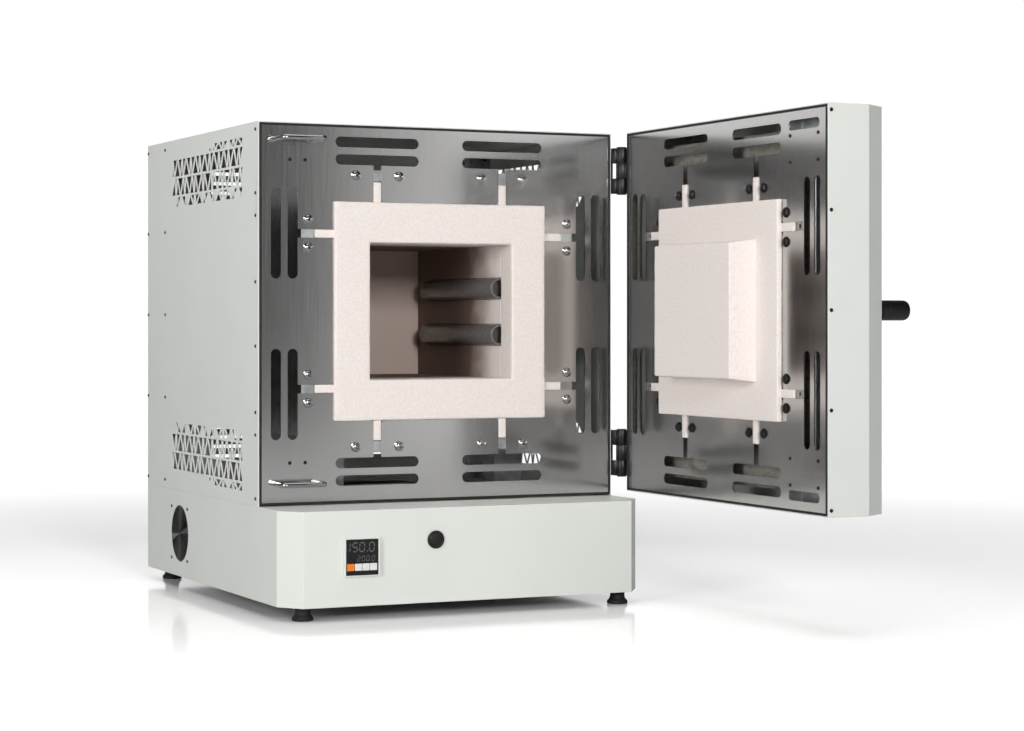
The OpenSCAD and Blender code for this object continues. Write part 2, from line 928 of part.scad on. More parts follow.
module heater_slab() {
    difference() {
        box(chamber_w / 2, frame_w / 2, y_frame_back, y_chamber_back,
            z_axis - frame_h / 2, z_axis + frame_h / 2);
        at_tubes() {
            rod_y(tube_r + tube_gap, y_frame_back - 1, tube_start + tube_len + tube_gap);
            rod_y(lead_r + bolt_gap, y_frame_back, y_chamber_back + 1, lead_shift);
        }
    }
}

module left_heater_slab() {
    color(fibre)
        mirror([1, 0, 0])
            heater_slab();
}

module right_heater_slab() {
    color(fibre)
        heater_slab();
}

module chamber_back() {
    color(fibre)
        difference() {
            box(-frame_w / 2, frame_w / 2, y_chamber_back, y_block_back,
                z_axis - frame_h / 2, z_axis + frame_h / 2);
            at_tubes()
                rod_y(lead_r + bolt_gap, y_chamber_back - 1, y_block_back + 1, lead_shift);
            rod_y(sheath_r + bolt_gap, y_chamber_back - 1, y_block_back + 1, 0, sheath_z);
        }
}

sheath_r = 4;
sheath_z = z_axis + 60;
terminal_reach = 22;

module insulation_jacket() {
    color(wool)
        difference() {
            box(-jacket_w / 2, jacket_w / 2, y_jacket, y_jacket_back,
                z_axis - jacket_h / 2, z_axis + jacket_h / 2);
            box(-frame_w / 2, frame_w / 2, y_jacket - 1, y_block_back,
                z_axis - frame_h / 2, z_axis + frame_h / 2);
            at_tubes()
                rod_y(lead_r + bolt_gap, y_block_back - 1, y_jacket_back + 1, lead_shift);
            rod_y(sheath_r + bolt_gap, y_block_back - 1, y_jacket_back + 1, 0, sheath_z);
        }
}

module chamber_casing() {
    color(steel)
        difference() {
            box(-jacket_w / 2 - plate_t, jacket_w / 2 + plate_t, y_jacket,
                y_jacket_back + plate_t, z_axis - jacket_h / 2 - plate_t,
                z_axis + jacket_h / 2 + plate_t);
            box(-jacket_w / 2, jacket_w / 2, y_jacket - 1, y_jacket_back,
                z_axis - jacket_h / 2, z_axis + jacket_h / 2);
            at_tubes()
                rod_y(lead_r + 2, y_jacket_back - 1, y_jacket_back + plate_t + 1, lead_shift);
            rod_y(sheath_r + bolt_gap, y_jacket_back - 1, y_jacket_back + plate_t + 1, 0, sheath_z);
        }
}

module heater_tubes() {
    color([0.14, 0.13, 0.13])
        at_tubes()
            difference() {
                rod_y(tube_r, tube_start, tube_start + tube_len);
                rod_y(tube_bore_r, tube_start - 1, tube_start + tube_len + 1);
            }
}

// Each element is a wound core in its tube, with a lead out to the rear
module heater_elements() {
    core_start = 14;
    color([0.30, 0.28, 0.27])
        at_tubes() {
            rod_y(tube_bore_r - seat_gap, tube_start + core_start, tube_start + tube_len);
            rod_y(lead_r, tube_start + tube_len - 1, y_jacket_back + terminal_reach, lead_shift);
        }
}

module thermocouple() {
    tip = 40;
    head_r = 14;
    head_h = 20;
    y_head = y_jacket_back + plate_t;
    color(fibre) {
        rod_y(sheath_r, y_chamber_back - tip, y_head + 1, 0, sheath_z);
        rod_y(head_r, y_head, y_head + head_h, 0, sheath_z);
    }
}

// Clips, bolts and strikers on the front plate

module frame_clips() {
    color(steel) {
        at_wide_clips(clip_z)
            clip_strap(bolt_half_wide, false, y_plate + plate_t, clip_w);
        at_side_clips(clip_x)
            clip_strap(bolt_half_side, true, y_plate + plate_t, side_clip_w);
    }
}

module clip_bolts() {
    color(chrome)
        at_body_bolts()
            clip_bolt(plate_t + clip_t);
}

// Round-bar loops that the latch bolts pass through
module striker_loops() {
    half = loop_w / 2 - loop_bar_r;
    corner = 5;
    y_bar = y_plate - loop_reach + loop_bar_r;
    color(chrome)
        for (sz = [-1, 1])
            translate([-latch_x, 0, z_axis + sz * latch_z]) {
                rod_x(loop_bar_r, -half + corner, half - corner, y_bar);
                for (s = [0, 1])
                    mirror([s, 0, 0]) {
                        rod_y(loop_bar_r, y_bar + corner, y_plate + plate_t + 6, half);
                        translate([half - corner, y_bar + corner, 0])
                            rotate([0, 0, -90])
                                rotate_extrude(angle = 90)
                                    translate([corner, 0])
                                        circle(r = loop_bar_r);
                        rod_y(loop_bar_r + 2.5, y_plate + plate_t, y_plate + plate_t + 5, half);
                    }
            }
}

// Hinges: three knuckles on a pin; the outer two belong to the housing

module knuckle(z, h, bore) {
    translate([hinge_x, hinge_y, z])
        difference() {
            cylinder(r = knuckle_r, h = h);
            translate([0, 0, -1])
                cylinder(r = bore, h = h + 2);
        }
}

// The solid shoulder that joins a knuckle to its leaf, clear of the pin
module knuckle_web(z, h, y0, y1) {
    difference() {
        box(x_side, hinge_x, y0, y1, z, z + h);
        translate([hinge_x, hinge_y, z - 1])
            cylinder(r = knuckle_r - 0.6, h = h + 2);
    }
}

// Leaf screws, as places on the left side with the head on the leaf
module at_leaf_screws(y) {
    for (z = hinge_z, dz = [leaf_screw_end, hinge_h - leaf_screw_end])
        mirror([1, 0, 0])
            translate([-x_side - leaf_t, y, z + dz])
                children();
}

module at_body_leaf_screws() {
    at_leaf_screws(y_plate + leaf_len - leaf_screw_edge)
        children();
}

module at_door_leaf_screws() {
    at_leaf_screws(y_door_in - leaf_len - 6 + leaf_screw_edge)
        children();
}

module body_hinge_leaves() {
    color(black)
        difference() {
            for (z = hinge_z) {
                for (k = [0, 2]) {
                    zk = z + k * (knuckle_h + knuckle_gap);
                    knuckle(zk, knuckle_h, hinge_pin_r);
                    knuckle_web(zk, knuckle_h, hinge_y, y_plate + 1);
                }
                box(x_side, x_side + leaf_t, y_plate + seat_gap, y_plate + leaf_len, z, z + hinge_h);
            }
            at_body_leaf_screws()
                rod_x(hole_r, -1, leaf_t + 1);
        }
}

module door_hinge_leaves() {
    color(black)
        open_place()
            difference() {
                for (z = hinge_z) {
                    zk = z + knuckle_h + knuckle_gap;
                    knuckle(zk, knuckle_h, hinge_pin_r + run_gap);
                    knuckle_web(zk, knuckle_h, hinge_y - knuckle_r - 2.5, hinge_y);
                    box(x_side, x_side + leaf_t, y_door_in - leaf_len - 6,
                        hinge_y - knuckle_r - 2, z, z + hinge_h);
                }
                at_door_leaf_screws()
                    rod_x(hole_r, -1, leaf_t + 1);
            }
}

module hinge_pins() {
    cap = 1.5;
    color(steel)
        for (z = hinge_z)
            translate([hinge_x, hinge_y, z]) {
                cylinder(r = hinge_pin_r, h = hinge_h);
                for (zc = [-cap, hinge_h])
                    translate([0, 0, zc])
                        cylinder(r = knuckle_r - 1, h = cap);
            }
}

// Controls

module at_keys() {
    for (k = [0 : 3])
        translate([x_ctrl + (k - 1.5) * key_pitch, 0, z_ctrl - key_drop])
            children();
}

module key_space(grow) {
    box(-key_w / 2 - grow, key_w / 2 + grow, y_front - bezel_proud - 1,
        y_front - bezel_proud + lens_recess + lens_t + 1, -key_h / 2 - grow, key_h / 2 + grow);
}

module controller_case() {
    key_room = key_travel + 1;
    y_face = y_front - bezel_proud + lens_recess + lens_t;
    color(black)
        difference() {
            box(x_ctrl - case_w / 2, x_ctrl + case_w / 2, y_face, y_front + case_d,
                z_ctrl - case_w / 2, z_ctrl + case_w / 2);
            at_keys()
                box(-key_w / 2 - key_gap, key_w / 2 + key_gap, y_face - 1,
                    y_face + key_depth - key_proud - lens_t + key_room,
                    -key_h / 2 - key_gap, key_h / 2 + key_gap);
        }
}

module controller_bezel() {
    color([0.90, 0.90, 0.88])
        difference() {
            upright(y_front - bezel_proud, bezel_proud, z_ctrl)
                translate([x_ctrl, 0])
                    square([bezel_w, bezel_w], center = true);
            upright(y_front - bezel_proud - 1, lens_recess + lens_t + 1, z_ctrl)
                translate([x_ctrl, 0])
                    square([lens_w + 2 * bolt_gap, lens_h + 2 * bolt_gap], center = true);
            upright(y_front - bezel_proud + 1, bezel_proud, z_ctrl)
                translate([x_ctrl, 0])
                    square([case_w + 0.02, case_w + 0.02], center = true);
        }
}

module controller_lens() {
    color(black)
        difference() {
            upright(y_front - bezel_proud + lens_recess, lens_t, z_ctrl)
                translate([x_ctrl, 0])
                    square([lens_w, lens_h], center = true);
            at_keys()
                key_space(key_gap);
        }
}

module controller_key(k) {
    y_key = y_front - bezel_proud + lens_recess - key_proud;
    translate([x_ctrl + (k - 1.5) * key_pitch, 0, z_ctrl - key_drop])
        box(-key_w / 2, key_w / 2, y_key, y_key + key_depth, -key_h / 2, key_h / 2);
}

module set_key() {
    color(orange)
        controller_key(0);
}

module shift_key() {
    color([0.92, 0.92, 0.90])
        controller_key(1);
}

module down_key() {
    color([0.92, 0.92, 0.90])
        controller_key(2);
}

module up_key() {
    color([0.92, 0.92, 0.90])
        controller_key(3);
}

module switch_body() {
    well = cap_len + button_travel + 1;
    color(black)
        translate([-button_x, 0, z_button])
            difference() {
                union() {
                    rod_y(collar_r, y_front - collar_proud, y_front);
                    rod_y(barrel_r, y_front - 0.01, y_front + barrel_len);
                    rod_y(collar_r + 2, y_front + sheet_t, y_front + sheet_t + 4);
                }
                rod_y(button_r + run_gap, y_front - collar_proud - 1, y_front - collar_proud + well);
            }
}

module power_button() {
    color(black)
        rod_y(button_r, y_front - collar_proud - 0.6, y_front - collar_proud - 0.6 + cap_len,
              -button_x, z_button);
}

// Works inside the base

module relay_module() {
    len = 110;
    depth = 90;
    height = 45;
    fin_t = 6;
    fin_gap = 7;
    fin_base = 8;
    x0 = 60;
    y0 = -40;
    z0 = z_base + sheet_t;
    color([0.65, 0.66, 0.68])
        difference() {
            box(x0, x0 + len, y0, y0 + depth, z0, z0 + height);
            for (x = [x0 + fin_t : fin_t + fin_gap : x0 + len - fin_t - fin_gap])
                box(x, x + fin_gap, y0 - 1, y0 + depth + 1, z0 + fin_base, z0 + height + 1);
        }
}

module terminal_block() {
    len = 120;
    depth = 34;
    height = 38;
    well_r = 4;
    well_depth = 18;
    pitch = 20;
    x0 = -90;
    y0 = 60;
    z0 = z_base + sheet_t;
    color([0.85, 0.84, 0.78])
        difference() {
            box(x0, x0 + len, y0, y0 + depth, z0, z0 + height);
            for (x = [x0 + pitch / 2 : pitch : x0 + len - pitch / 2])
                translate([x, y0 + depth / 2, z0 + height - well_depth])
                    cylinder(r = well_r, h = well_depth + 1);
        }
}

// Fan

module fan_duct_2d() {
    difference() {
        square([fan_w, fan_w], center = true);
        circle(r = fan_duct_r);
        for (sy = [-1, 1], sz = [-1, 1])
            translate([sy * fan_pitch / 2, sz * fan_pitch / 2])
                circle(r = hole_r);
    }
}

// The frame: a duct, and a back with three struts that carry the bearing pin
module fan_frame() {
    strut = 5;
    x0 = -x_in;
    x_hub = x0 + fan_t - fan_back_t;
    color(black)
        union() {
            sideways(x0, fan_t - fan_back_t)
                translate([fan_y, z_fan])
                    fan_duct_2d();
            sideways(x_hub, fan_back_t)
                translate([fan_y, z_fan])
                    union() {
                        fan_duct_2d();
                        circle(r = hub_r);
                        for (a = [30 : 120 : 270])
                            rotate(a)
                                translate([0, -strut / 2])
                                    square([fan_duct_r + 1, strut]);
                    }
            rod_x(fan_pin_r, x_hub - rotor_t + 2.5, x_hub + 0.5, fan_y, z_fan);
        }
}

// Concentric ring grille in the air opening
module fan_guard() {
    pitch = (fan_open_r - bolt_gap) / guard_rings;
    color(black)
        translate([-x_side, fan_y, z_fan])
            rotate([0, 90, 0]) {
                for (k = [1 : guard_rings])
                    difference() {
                        cylinder(r = k * pitch, h = sheet_t);
                        translate([0, 0, -1])
                            cylinder(r = k * pitch - ring_w, h = sheet_t + 2);
                    }
                for (a = [45 : 90 : 315])
                    rotate(a)
                        translate([0, -1.5, 0])
                            cube([fan_open_r - 1, 3, sheet_t]);
            }
}

module fan_rotor() {
    x0 = -x_in + fan_t - fan_back_t - seat_gap - rotor_t;
    blade_w = 15;
    blade_t = 1.6;
    blade_pitch = 38;
    color(black)
        translate([x0, fan_y, z_fan])
            difference() {
                union() {
                    rod_x(hub_r, 0, rotor_t);
                    for (k = [0 : rotor_blades - 1])
                        rotate([k * 360 / rotor_blades, 0, 0])
                            translate([rotor_t / 2, hub_r - 2, 0])
                                rotate([0, blade_pitch, 0])
                                    translate([-blade_w / 2, 0, -blade_t / 2])
                                        cube([blade_w, rotor_r - hub_r + 1, blade_t]);
                }
                rod_x(fan_pin_r + run_gap, 2, rotor_t + 1);
            }
}

module cable_gland() {
    hex_r = gland_r + 8;
    x = 150;
    color(black)
        difference() {
            union() {
                rod_y(gland_r + 4, y_in - 10, y_back + 20, x, z_fan);
                translate([x, y_back + 7, z_fan])
                    rotate([90, 0, 0])
                        cylinder(r = hex_r, h = 7, $fn = 6);
                rod_y(gland_r + 6.5, y_back + 6, y_back + 18, x, z_fan);
                rod_y(hex_r - 1, y_in - 5, y_in, x, z_fan);
            }
            rod_y(gland_r, y_in - 11, y_back + 21, x, z_fan);
        }
}

// Fixings and feet

module panel_screws() {
    side_grip = sheet_t + seal_w + plate_t + 2;
    color(black) {
        for (s = [0, 1])
            mirror([s, 0, 0])
                at_side_screws()
                    small_screw(side_grip);
        at_fan_screws()
            small_screw(sheet_t + fan_t);
        at_striker_screws()
            rotate([0, 0, 90])
                small_screw(plate_t + 3);
        at_body_leaf_screws()
            small_screw(leaf_t + sheet_t + 1.2);
    }
}

module foot_pads() {
    stem_r = foot_r - 4;
    lower_h = 5;
    color(black)
        at_feet() {
            cylinder(r1 = foot_r - 1, r2 = foot_r, h = 1);
            translate([0, 0, 1])
                cylinder(r = foot_r, h = lower_h - 1);
            translate([0, 0, lower_h])
                cylinder(r1 = foot_r, r2 = stem_r, h = 3);
            translate([0, 0, lower_h + 3])
                cylinder(r = stem_r, h = foot_h - lower_h - 3);
        }
}

module foot_studs() {
    stud_len = 22;
    foot_nut_r = 7.5;
    foot_nut_t = 6.5;
    color(steel)
        at_feet() {
            translate([0, 0, foot_h])
                cylinder(r = stud_r, h = stud_len);
            translate([0, 0, foot_h + sheet_t])
                cylinder(r = foot_nut_r, h = foot_nut_t, $fn = 6);
        }
}

// Door

module door_casing() {
    color(paint)
        open_place()
            difference() {
                translate([0, 0, z_door])
                    linear_extrude(door_h)
                        door_outline(0);
                translate([0, 0, z_door + sheet_t])
                    linear_extrude(door_h - 2 * sheet_t)
                        union() {
                            door_outline(sheet_t);
                            translate([-x_in, y_door_in - 1])
                                square([2 * x_in, 2]);
                        }
                at_door_screws()
                    rod_x(hole_r, -1, sheet_t + 1);
                at_door_leaf_screws()
                    rod_x(hole_r, leaf_t - 0.5, leaf_t + sheet_t + 1);
                rod_y(bush_r + bolt_gap, y_door_out - 1, y_door_out + sheet_t + 1, handle_x, z_axis);
            }
}

module door_inner_plate() {
    slab_cut_w = frame_w - 2 * mouth_r;
    slab_cut_h = slab_h - 2 * mouth_r;
    color(steel)
        open_place()
            difference() {
                union() {
                    upright(y_door_in - plate_t, plate_t)
                        square([door_plate_w, door_plate_h], center = true);
                    upright(y_door_in - flange_d, flange_d - plate_t)
                        frame_2d(door_plate_w, door_plate_h, plate_t);
                }
                upright(y_door_in - plate_t - 1, plate_t + 2) {
                    square([slab_cut_w, slab_cut_h], center = true);
                    vent_slots_2d();
                    tab_slits_2d(frame_w, slab_h);
                    for (sz = [-1, 1])
                        translate([-latch_x, sz * latch_z])
                            slot_2d(pocket_w, pocket_h);
                }
                at_door_bolts()
                    rod_y(clip_hole_r, -plate_t - 1, 1);
                at_latch_screws()
                    rod_y(hole_r, -plate_t - 1, 1);
                at_door_screws()
                    rod_x(hole_r, sheet_t + 1, sheet_t + seal_w + plate_t + 1);
            }
}

module door_edge_seal() {
    color(black)
        open_place()
            upright(y_door_in - seal_d / 2, seal_d / 2 + seal_proud)
                frame_2d(body_w - 2 * sheet_t, door_h - 2 * sheet_t, seal_w);
}

// Slab with its tabs, the part behind the plate, and the tapered plug
module door_plug_slab() {
    tab_w = slit_w - 2 * frame_gap;
    plug_w = chamber_w - 2 * plug_gap;
    plug_h = chamber_h - 2 * plug_gap_high;
    behind_w = frame_w - 2 * mouth_r - 2 * frame_gap;
    behind_h = slab_h - 2 * mouth_r - 2 * frame_gap;
    tab_in = plate_t - frame_gap;
    tab_proud = 2;
    color(fibre)
        open_place() {
            upright(y_door_in, slab_t)
                square([frame_w, slab_h], center = true);
            upright(y_door_in - door_core_t, door_core_t)
                square([behind_w, behind_h], center = true);
            upright(y_door_in - tab_in, tab_in + tab_proud) {
                for (sx = [-1, 1], sz = [-1, 1])
                    translate([sx * slot_x, sz * (slab_h / 2 + door_tab_len / 2 - 0.5)])
                        square([tab_w, door_tab_len + 1], center = true);
                for (sx = [-1, 1], sz = [-1, 1])
                    translate([sx * (frame_w / 2 + door_tab_len / 2 - 0.5), sz * side_slit_z])
                        square([door_tab_len + 1, tab_w], center = true);
            }
            plug_solid(plug_w, plug_h);
        }
}

// A block that narrows by the taper towards the chamber, from four tilted cuts
module plug_solid(w, h) {
    y_root = y_door_in + slab_t;
    lean = atan(plug_taper / plug_depth);
    lean_high = atan(plug_taper_high / plug_depth);
    far = 80;
    difference() {
        box(-w / 2, w / 2, y_root, y_root + plug_depth, z_axis - h / 2, z_axis + h / 2);
        for (s = [0, 1])
            mirror([s, 0, 0])
                translate([w / 2, y_root, z_axis])
                    rotate([0, 0, lean])
                        translate([0, -far, -h])
                            cube([far, 3 * far, 2 * h]);
        for (s = [0, 1])
            translate([0, y_root, z_axis])
                mirror([0, 0, s])
                    translate([0, 0, h / 2])
                        rotate([-lean_high, 0, 0])
                            translate([-w, -far, 0])
                                cube([2 * w, 3 * far, far]);
    }
}

// Insulation that fills the casing behind the slab, clear of the latch works
module door_backing() {
    latch_room = 60;
    color(wool)
        open_place()
            box(-x_side + latch_room, x_side - flange_d - 10, y_door_out + sheet_t,
                y_door_in - door_core_t, z_door + flange_d + 8, z_top - flange_d - 8);
}

module door_clips() {
    y_clip = y_door_in - plate_t - clip_t;
    tongue_w = slit_w + 4;
    tongue_out = side_slot_x - slot_w / 2 - 4;
    tongue_hole_r = 2.5;
    color(steel)
        open_place() {
            at_wide_clips(door_clip_z)
                clip_strap(door_bolt_half, false, y_clip, clip_w);
            at_side_clips(door_clip_x)
                clip_strap(door_bolt_half, true, y_clip, clip_w);
            for (s = [0, 1], sz = [-1, 1])
                mirror([s, 0, 0])
                    difference() {
                        box(door_clip_x + clip_w / 2 - 0.01, tongue_out, y_clip, y_clip + clip_t,
                            z_axis + sz * side_slit_z - tongue_w / 2,
                            z_axis + sz * side_slit_z + tongue_w / 2);
                        rod_y(tongue_hole_r, y_clip - 1, y_clip + clip_t + 1,
                              tongue_out - 7, z_axis + sz * side_slit_z);
                    }
        }
}

module door_clip_bolts() {
    color(black)
        open_place()
            at_door_bolts()
                mirror([0, 1, 0])
                    clip_bolt(plate_t + clip_t);
}

module at_latch_screws() {
    for (sz = [-1, 1], s = [-1, 1], dz = [latch_screw_near, latch_screw_far])
        translate([-latch_x + s * latch_screw_x, y_door_in, z_axis + sz * (latch_z - dz)])
            children();
}

// A tray behind each pocket: back, cheeks, screw bosses and rails that guide the bolt
module latch_housings() {
    back_t = 2;
    cheek_t = 3;
    boss_r = 3.5;
    rail_t = 3;
    rail_x = bolt_head_w / 2 + seat_gap;
    z_low = latch_z + housing_lip - housing_h;
    z_high = latch_z + housing_lip;
    rail_top = latch_z - pocket_h / 2 - 2;
    y_tray = y_works - housing_t;
    color(steel)
        open_place()
            difference() {
                translate([-latch_x, 0, z_axis])
                    for (m = [0, 1])
                        mirror([0, 0, m]) {
                            box(-housing_w / 2, housing_w / 2, y_tray, y_tray + back_t, z_low, z_high);
                            for (s = [0, 1])
                                mirror([s, 0, 0]) {
                                    box(housing_w / 2 - cheek_t, housing_w / 2, y_tray, y_works,
                                        z_low, z_high);
                                    box(rail_x, rail_x + rail_t, y_tray, y_works, z_low, rail_top);
                                    for (dz = [latch_screw_near, latch_screw_far])
                                        rod_y(boss_r, y_tray, y_works, latch_screw_x, latch_z - dz);
                                }
                        }
                at_latch_screws()
                    rod_y(hole_r, -plate_t - 8, 1);
            }
}

module latch_screws() {
    color(black)
        open_place()
            at_latch_screws()
                rotate([0, 0, -90])
                    small_screw(plate_t + 6);
}

// One latch bolt, drawn for the upper side: head, rod and yoke in one plate
module latch_bolt() {
    head_top = latch_z - loop_bar_r - latch_head_gap;
    head_h = 40;
    yoke_in = 1;
    yoke_out = 17;
    yoke_low = 16;
    yoke_top = 26;
    slot_in = cam_throw / sqrt(2) - cam_pin_r - yoke_gap;
    slot_out = cam_throw + cam_pin_r + yoke_gap;
    slot_half = cam_pin_r + yoke_gap;
    translate([0, y_bolt, z_axis])
        difference() {
            union() {
                box(-latch_x - bolt_head_w / 2, -latch_x + bolt_head_w / 2,
                    0, latch_bolt_t, head_top - head_h, head_top);
                box(handle_x - rod_w / 2, handle_x + rod_w / 2, 0, latch_bolt_t,
                    yoke_top - 6, head_top - 5);
                box(handle_x + yoke_in, handle_x + yoke_out, 0, latch_bolt_t, -yoke_low, yoke_top);
            }
            box(handle_x + slot_in, handle_x + slot_out, -1, latch_bolt_t + 1,
                -cam_throw / sqrt(2) - slot_half, -cam_throw / sqrt(2) + slot_half);
        }
}

module upper_latch_bolt() {
    color(chrome)
        open_place()
            latch_bolt();
}

module lower_latch_bolt() {
    head_top = latch_z - loop_bar_r - latch_head_gap;
    head_h = 40;
    yoke_in = 1;
    yoke_out = 17;
    yoke_low = 16;
    yoke_top = 26;
    slot_in = cam_throw / sqrt(2) - cam_pin_r - yoke_gap;
    slot_out = cam_throw + cam_pin_r + yoke_gap;
    slot_half = cam_pin_r + yoke_gap;
    color(chrome)
        open_place()
            translate([0, y_bolt, z_axis])
                difference() {
                    union() {
                        box(-latch_x - bolt_head_w / 2, -latch_x + bolt_head_w / 2,
                            0, latch_bolt_t, -head_top, -head_top + head_h);
                        box(handle_x - rod_w / 2, handle_x + rod_w / 2, 0, latch_bolt_t,
                            -head_top + 5, -yoke_top + 6);
                        box(handle_x - yoke_out, handle_x - yoke_in, 0, latch_bolt_t,
                            -yoke_top, yoke_low);
                    }
                    box(handle_x - slot_out, handle_x - slot_in, -1, latch_bolt_t + 1,
                        cam_throw / sqrt(2) - slot_half, cam_throw / sqrt(2) + slot_half);
                }
}

module door_screws() {
    color(black)
        open_place() {
            at_door_screws()
                small_screw(sheet_t + seal_w + plate_t + 2);
            at_door_leaf_screws()
                small_screw(leaf_t + sheet_t + 3);
        }
}

// Bearing bush for the handle's spindle
module handle_bush() {
    flange_r = bush_r + 3.5;
    flange_t = 2.5;
    bush_len = 30;
    bush_nut_r = bush_r + 2.4;
    bush_nut_t = 5;
    color(black)
        open_place()
            translate([handle_x, 0, z_axis])
                difference() {
                    union() {
                        rod_y(flange_r, y_door_out - flange_t, y_door_out);
                        rod_y(bush_r, y_door_out - 0.01, y_door_out + bush_len);
                        rod_y(bush_nut_r, y_door_out + sheet_t, y_door_out + sheet_t + bush_nut_t);
                    }
                    rod_y(spindle_r + run_gap, y_door_out - flange_t - 1, y_door_out + bush_len + 1);
                }
}

module handle_knob() {
    y_knob = y_door_out - 3;
    round_r = 5;
    color(black)
        open_place()
            translate([handle_x, y_knob, z_axis])
                rotate([90, 0, 0])
                    rotate_extrude() {
                        square([knob_r, knob_len - round_r]);
                        square([knob_r - round_r, knob_len]);
                        translate([knob_r - round_r, knob_len - round_r])
                            intersection() {
                                circle(r = round_r);
                                square(round_r);
                            }
                    }
}

// Spindle with the cam disc and its two pins
module handle_spindle() {
    color(steel)
        open_place()
            translate([handle_x, 0, z_axis]) {
                rod_y(spindle_r, y_door_out - 3, y_cam + 0.01);
                rod_y(cam_disc_r, y_cam, y_cam + cam_t);
                for (s = [-1, 1])
                    rod_y(cam_pin_r, y_cam + cam_t - 0.01, y_bolt + latch_bolt_t,
                          s * cam_throw / sqrt(2), -s * cam_throw / sqrt(2));
            }
}

base_shell();
base_tray();
base_rear_panel();
left_side_panel();
right_side_panel();
top_cover();
rear_cover();
inner_frame();
front_plate();
plate_edge_seal();
chamber_front_frame();
chamber_roof();
chamber_floor();
left_heater_slab();
right_heater_slab();
chamber_back();
insulation_jacket();
chamber_casing();
heater_tubes();
heater_elements();
thermocouple();
frame_clips();
clip_bolts();
striker_loops();
body_hinge_leaves();
hinge_pins();
controller_case();
controller_bezel();
controller_lens();
switch_body();
relay_module();
terminal_block();
fan_frame();
fan_guard();
cable_gland();
panel_screws();
foot_pads();
foot_studs();
door_casing();
door_inner_plate();
door_edge_seal();
door_plug_slab();
door_backing();
door_clips();
door_clip_bolts();
latch_housings();
latch_screws();
door_hinge_leaves();
door_screws();
handle_bush();
handle_knob();
handle_spindle();
upper_latch_bolt();
lower_latch_bolt();
power_button();
fan_rotor();
set_key();
shift_key();
down_key();
up_key();
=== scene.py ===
import math

import bmesh
import bpy
from mathutils import Matrix, Vector, noise


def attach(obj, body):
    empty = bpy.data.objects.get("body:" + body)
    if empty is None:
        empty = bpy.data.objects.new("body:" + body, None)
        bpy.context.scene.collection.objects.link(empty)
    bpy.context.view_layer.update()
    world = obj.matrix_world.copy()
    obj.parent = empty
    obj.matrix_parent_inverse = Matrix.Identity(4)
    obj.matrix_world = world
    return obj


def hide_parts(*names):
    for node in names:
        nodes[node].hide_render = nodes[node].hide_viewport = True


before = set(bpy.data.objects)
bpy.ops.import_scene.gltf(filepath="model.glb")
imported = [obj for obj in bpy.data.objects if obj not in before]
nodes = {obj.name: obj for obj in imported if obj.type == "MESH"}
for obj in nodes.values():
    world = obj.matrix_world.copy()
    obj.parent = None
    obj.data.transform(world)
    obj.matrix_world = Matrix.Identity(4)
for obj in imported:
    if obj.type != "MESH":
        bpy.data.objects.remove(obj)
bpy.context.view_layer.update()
scene = bpy.context.scene
MM = 0.001

# Camera, at the photograph's place, level and shifted
camera = bpy.data.objects.new("camera", bpy.data.cameras.new("camera"))
scene.collection.objects.link(camera)
camera.location = (-1.2476, -3.0934, 0.3689)
camera.rotation_euler = (math.radians(90), 0, math.radians(-24.96))
camera.data.lens = 85.1
camera.data.sensor_width = 36
camera.data.shift_y = -0.0422
scene.camera = camera
scene.view_settings.view_transform = "Standard"

# Places on the furnace, in millimetres; Z_AXIS is the height of the chamber's centre
X_SIDE = 250
Y_FRONT, Y_BACK = -295, 295
Y_PLATE = -192
Z_AXIS = 383
Y_DOOR_IN, Y_DOOR_OUT = -205.4, -294.4
HINGE = (260.4, -202.9)
HANDLE_X = -215.25
FAN_Y, FAN_Z = 141, 76.5
CTRL_X, CTRL_Z = -151, 78
BUTTON_X, BUTTON_Z = -51, 96

# Fibre parts: front frame round its mouth, door slab with its tapered plug
FRAME_W, FRAME_H = 297.5, 281
FRAME_PROUD, FRAME_DEEP = 6, 30
MOUTH_W, MOUTH_H = 200, 176
SLAB_H, SLAB_PROUD = 266, 7
BEHIND_INSET, BEHIND_DEEP = 8.6, 21
PLUG_ROOT = (197, 174)
PLUG_TIP = (190, 165)
PLUG_DEPTH = 35
CELL = 7

# Tabs and clips, from the chamber's centre; the slits they pass through stand on SLIT_X and SLIT_Z
SLIT_X, SLIT_Z = 88.5, 99
TAB_HALF = 5.2
TAB_END_Z, TAB_END_X = 166.25, 174
DOOR_TAB = 29
CLIP_Z, CLIP_X = 174.5, 183.5
CLIP_WIDE, CLIP_SIDE = 30, 18
DOOR_CLIP_Z, DOOR_CLIP_X = 148.5, 157.75
DOOR_CLIP_HALF = 17.5
GRIP = 3.5

# The door is drawn shut and carried to its open place
PIN = Vector((HINGE[0] * MM, HINGE[1] * MM, 0))
OPEN = (Matrix.Translation(PIN) @ Matrix.Rotation(math.radians(90), 4, "Z")
        @ Matrix.Translation(-PIN))
HERE = (Matrix.Identity(4),)


# Materials

def srgb(text):
    """An sRGB hex colour as linear RGBA."""
    parts = [int(text[i:i + 2], 16) / 255 for i in (1, 3, 5)]
    return [c / 12.92 if c <= 0.04045 else ((c + 0.055) / 1.055) ** 2.4 for c in parts] + [1]


def add(tree, kind, links=None, **settings):
    """A node with its settings; links gives sockets a value or another node's output."""
    node = tree.nodes.new(kind)
    for key, value in settings.items():
        setattr(node, key, value)
    for key, value in (links or {}).items():
        if isinstance(value, bpy.types.NodeSocket):
            tree.links.new(value, node.inputs[key])
        else:
            node.inputs[key].default_value = value
    return node


def remap(tree, value, start, end, low=0.0, high=1.0):
    """Value carried from the range start to end into the range low to high, clamped."""
    return add(tree, "ShaderNodeMapRange", {
        "Value": value, "From Min": start, "From Max": end, "To Min": low,
        "To Max": high}).outputs[0]


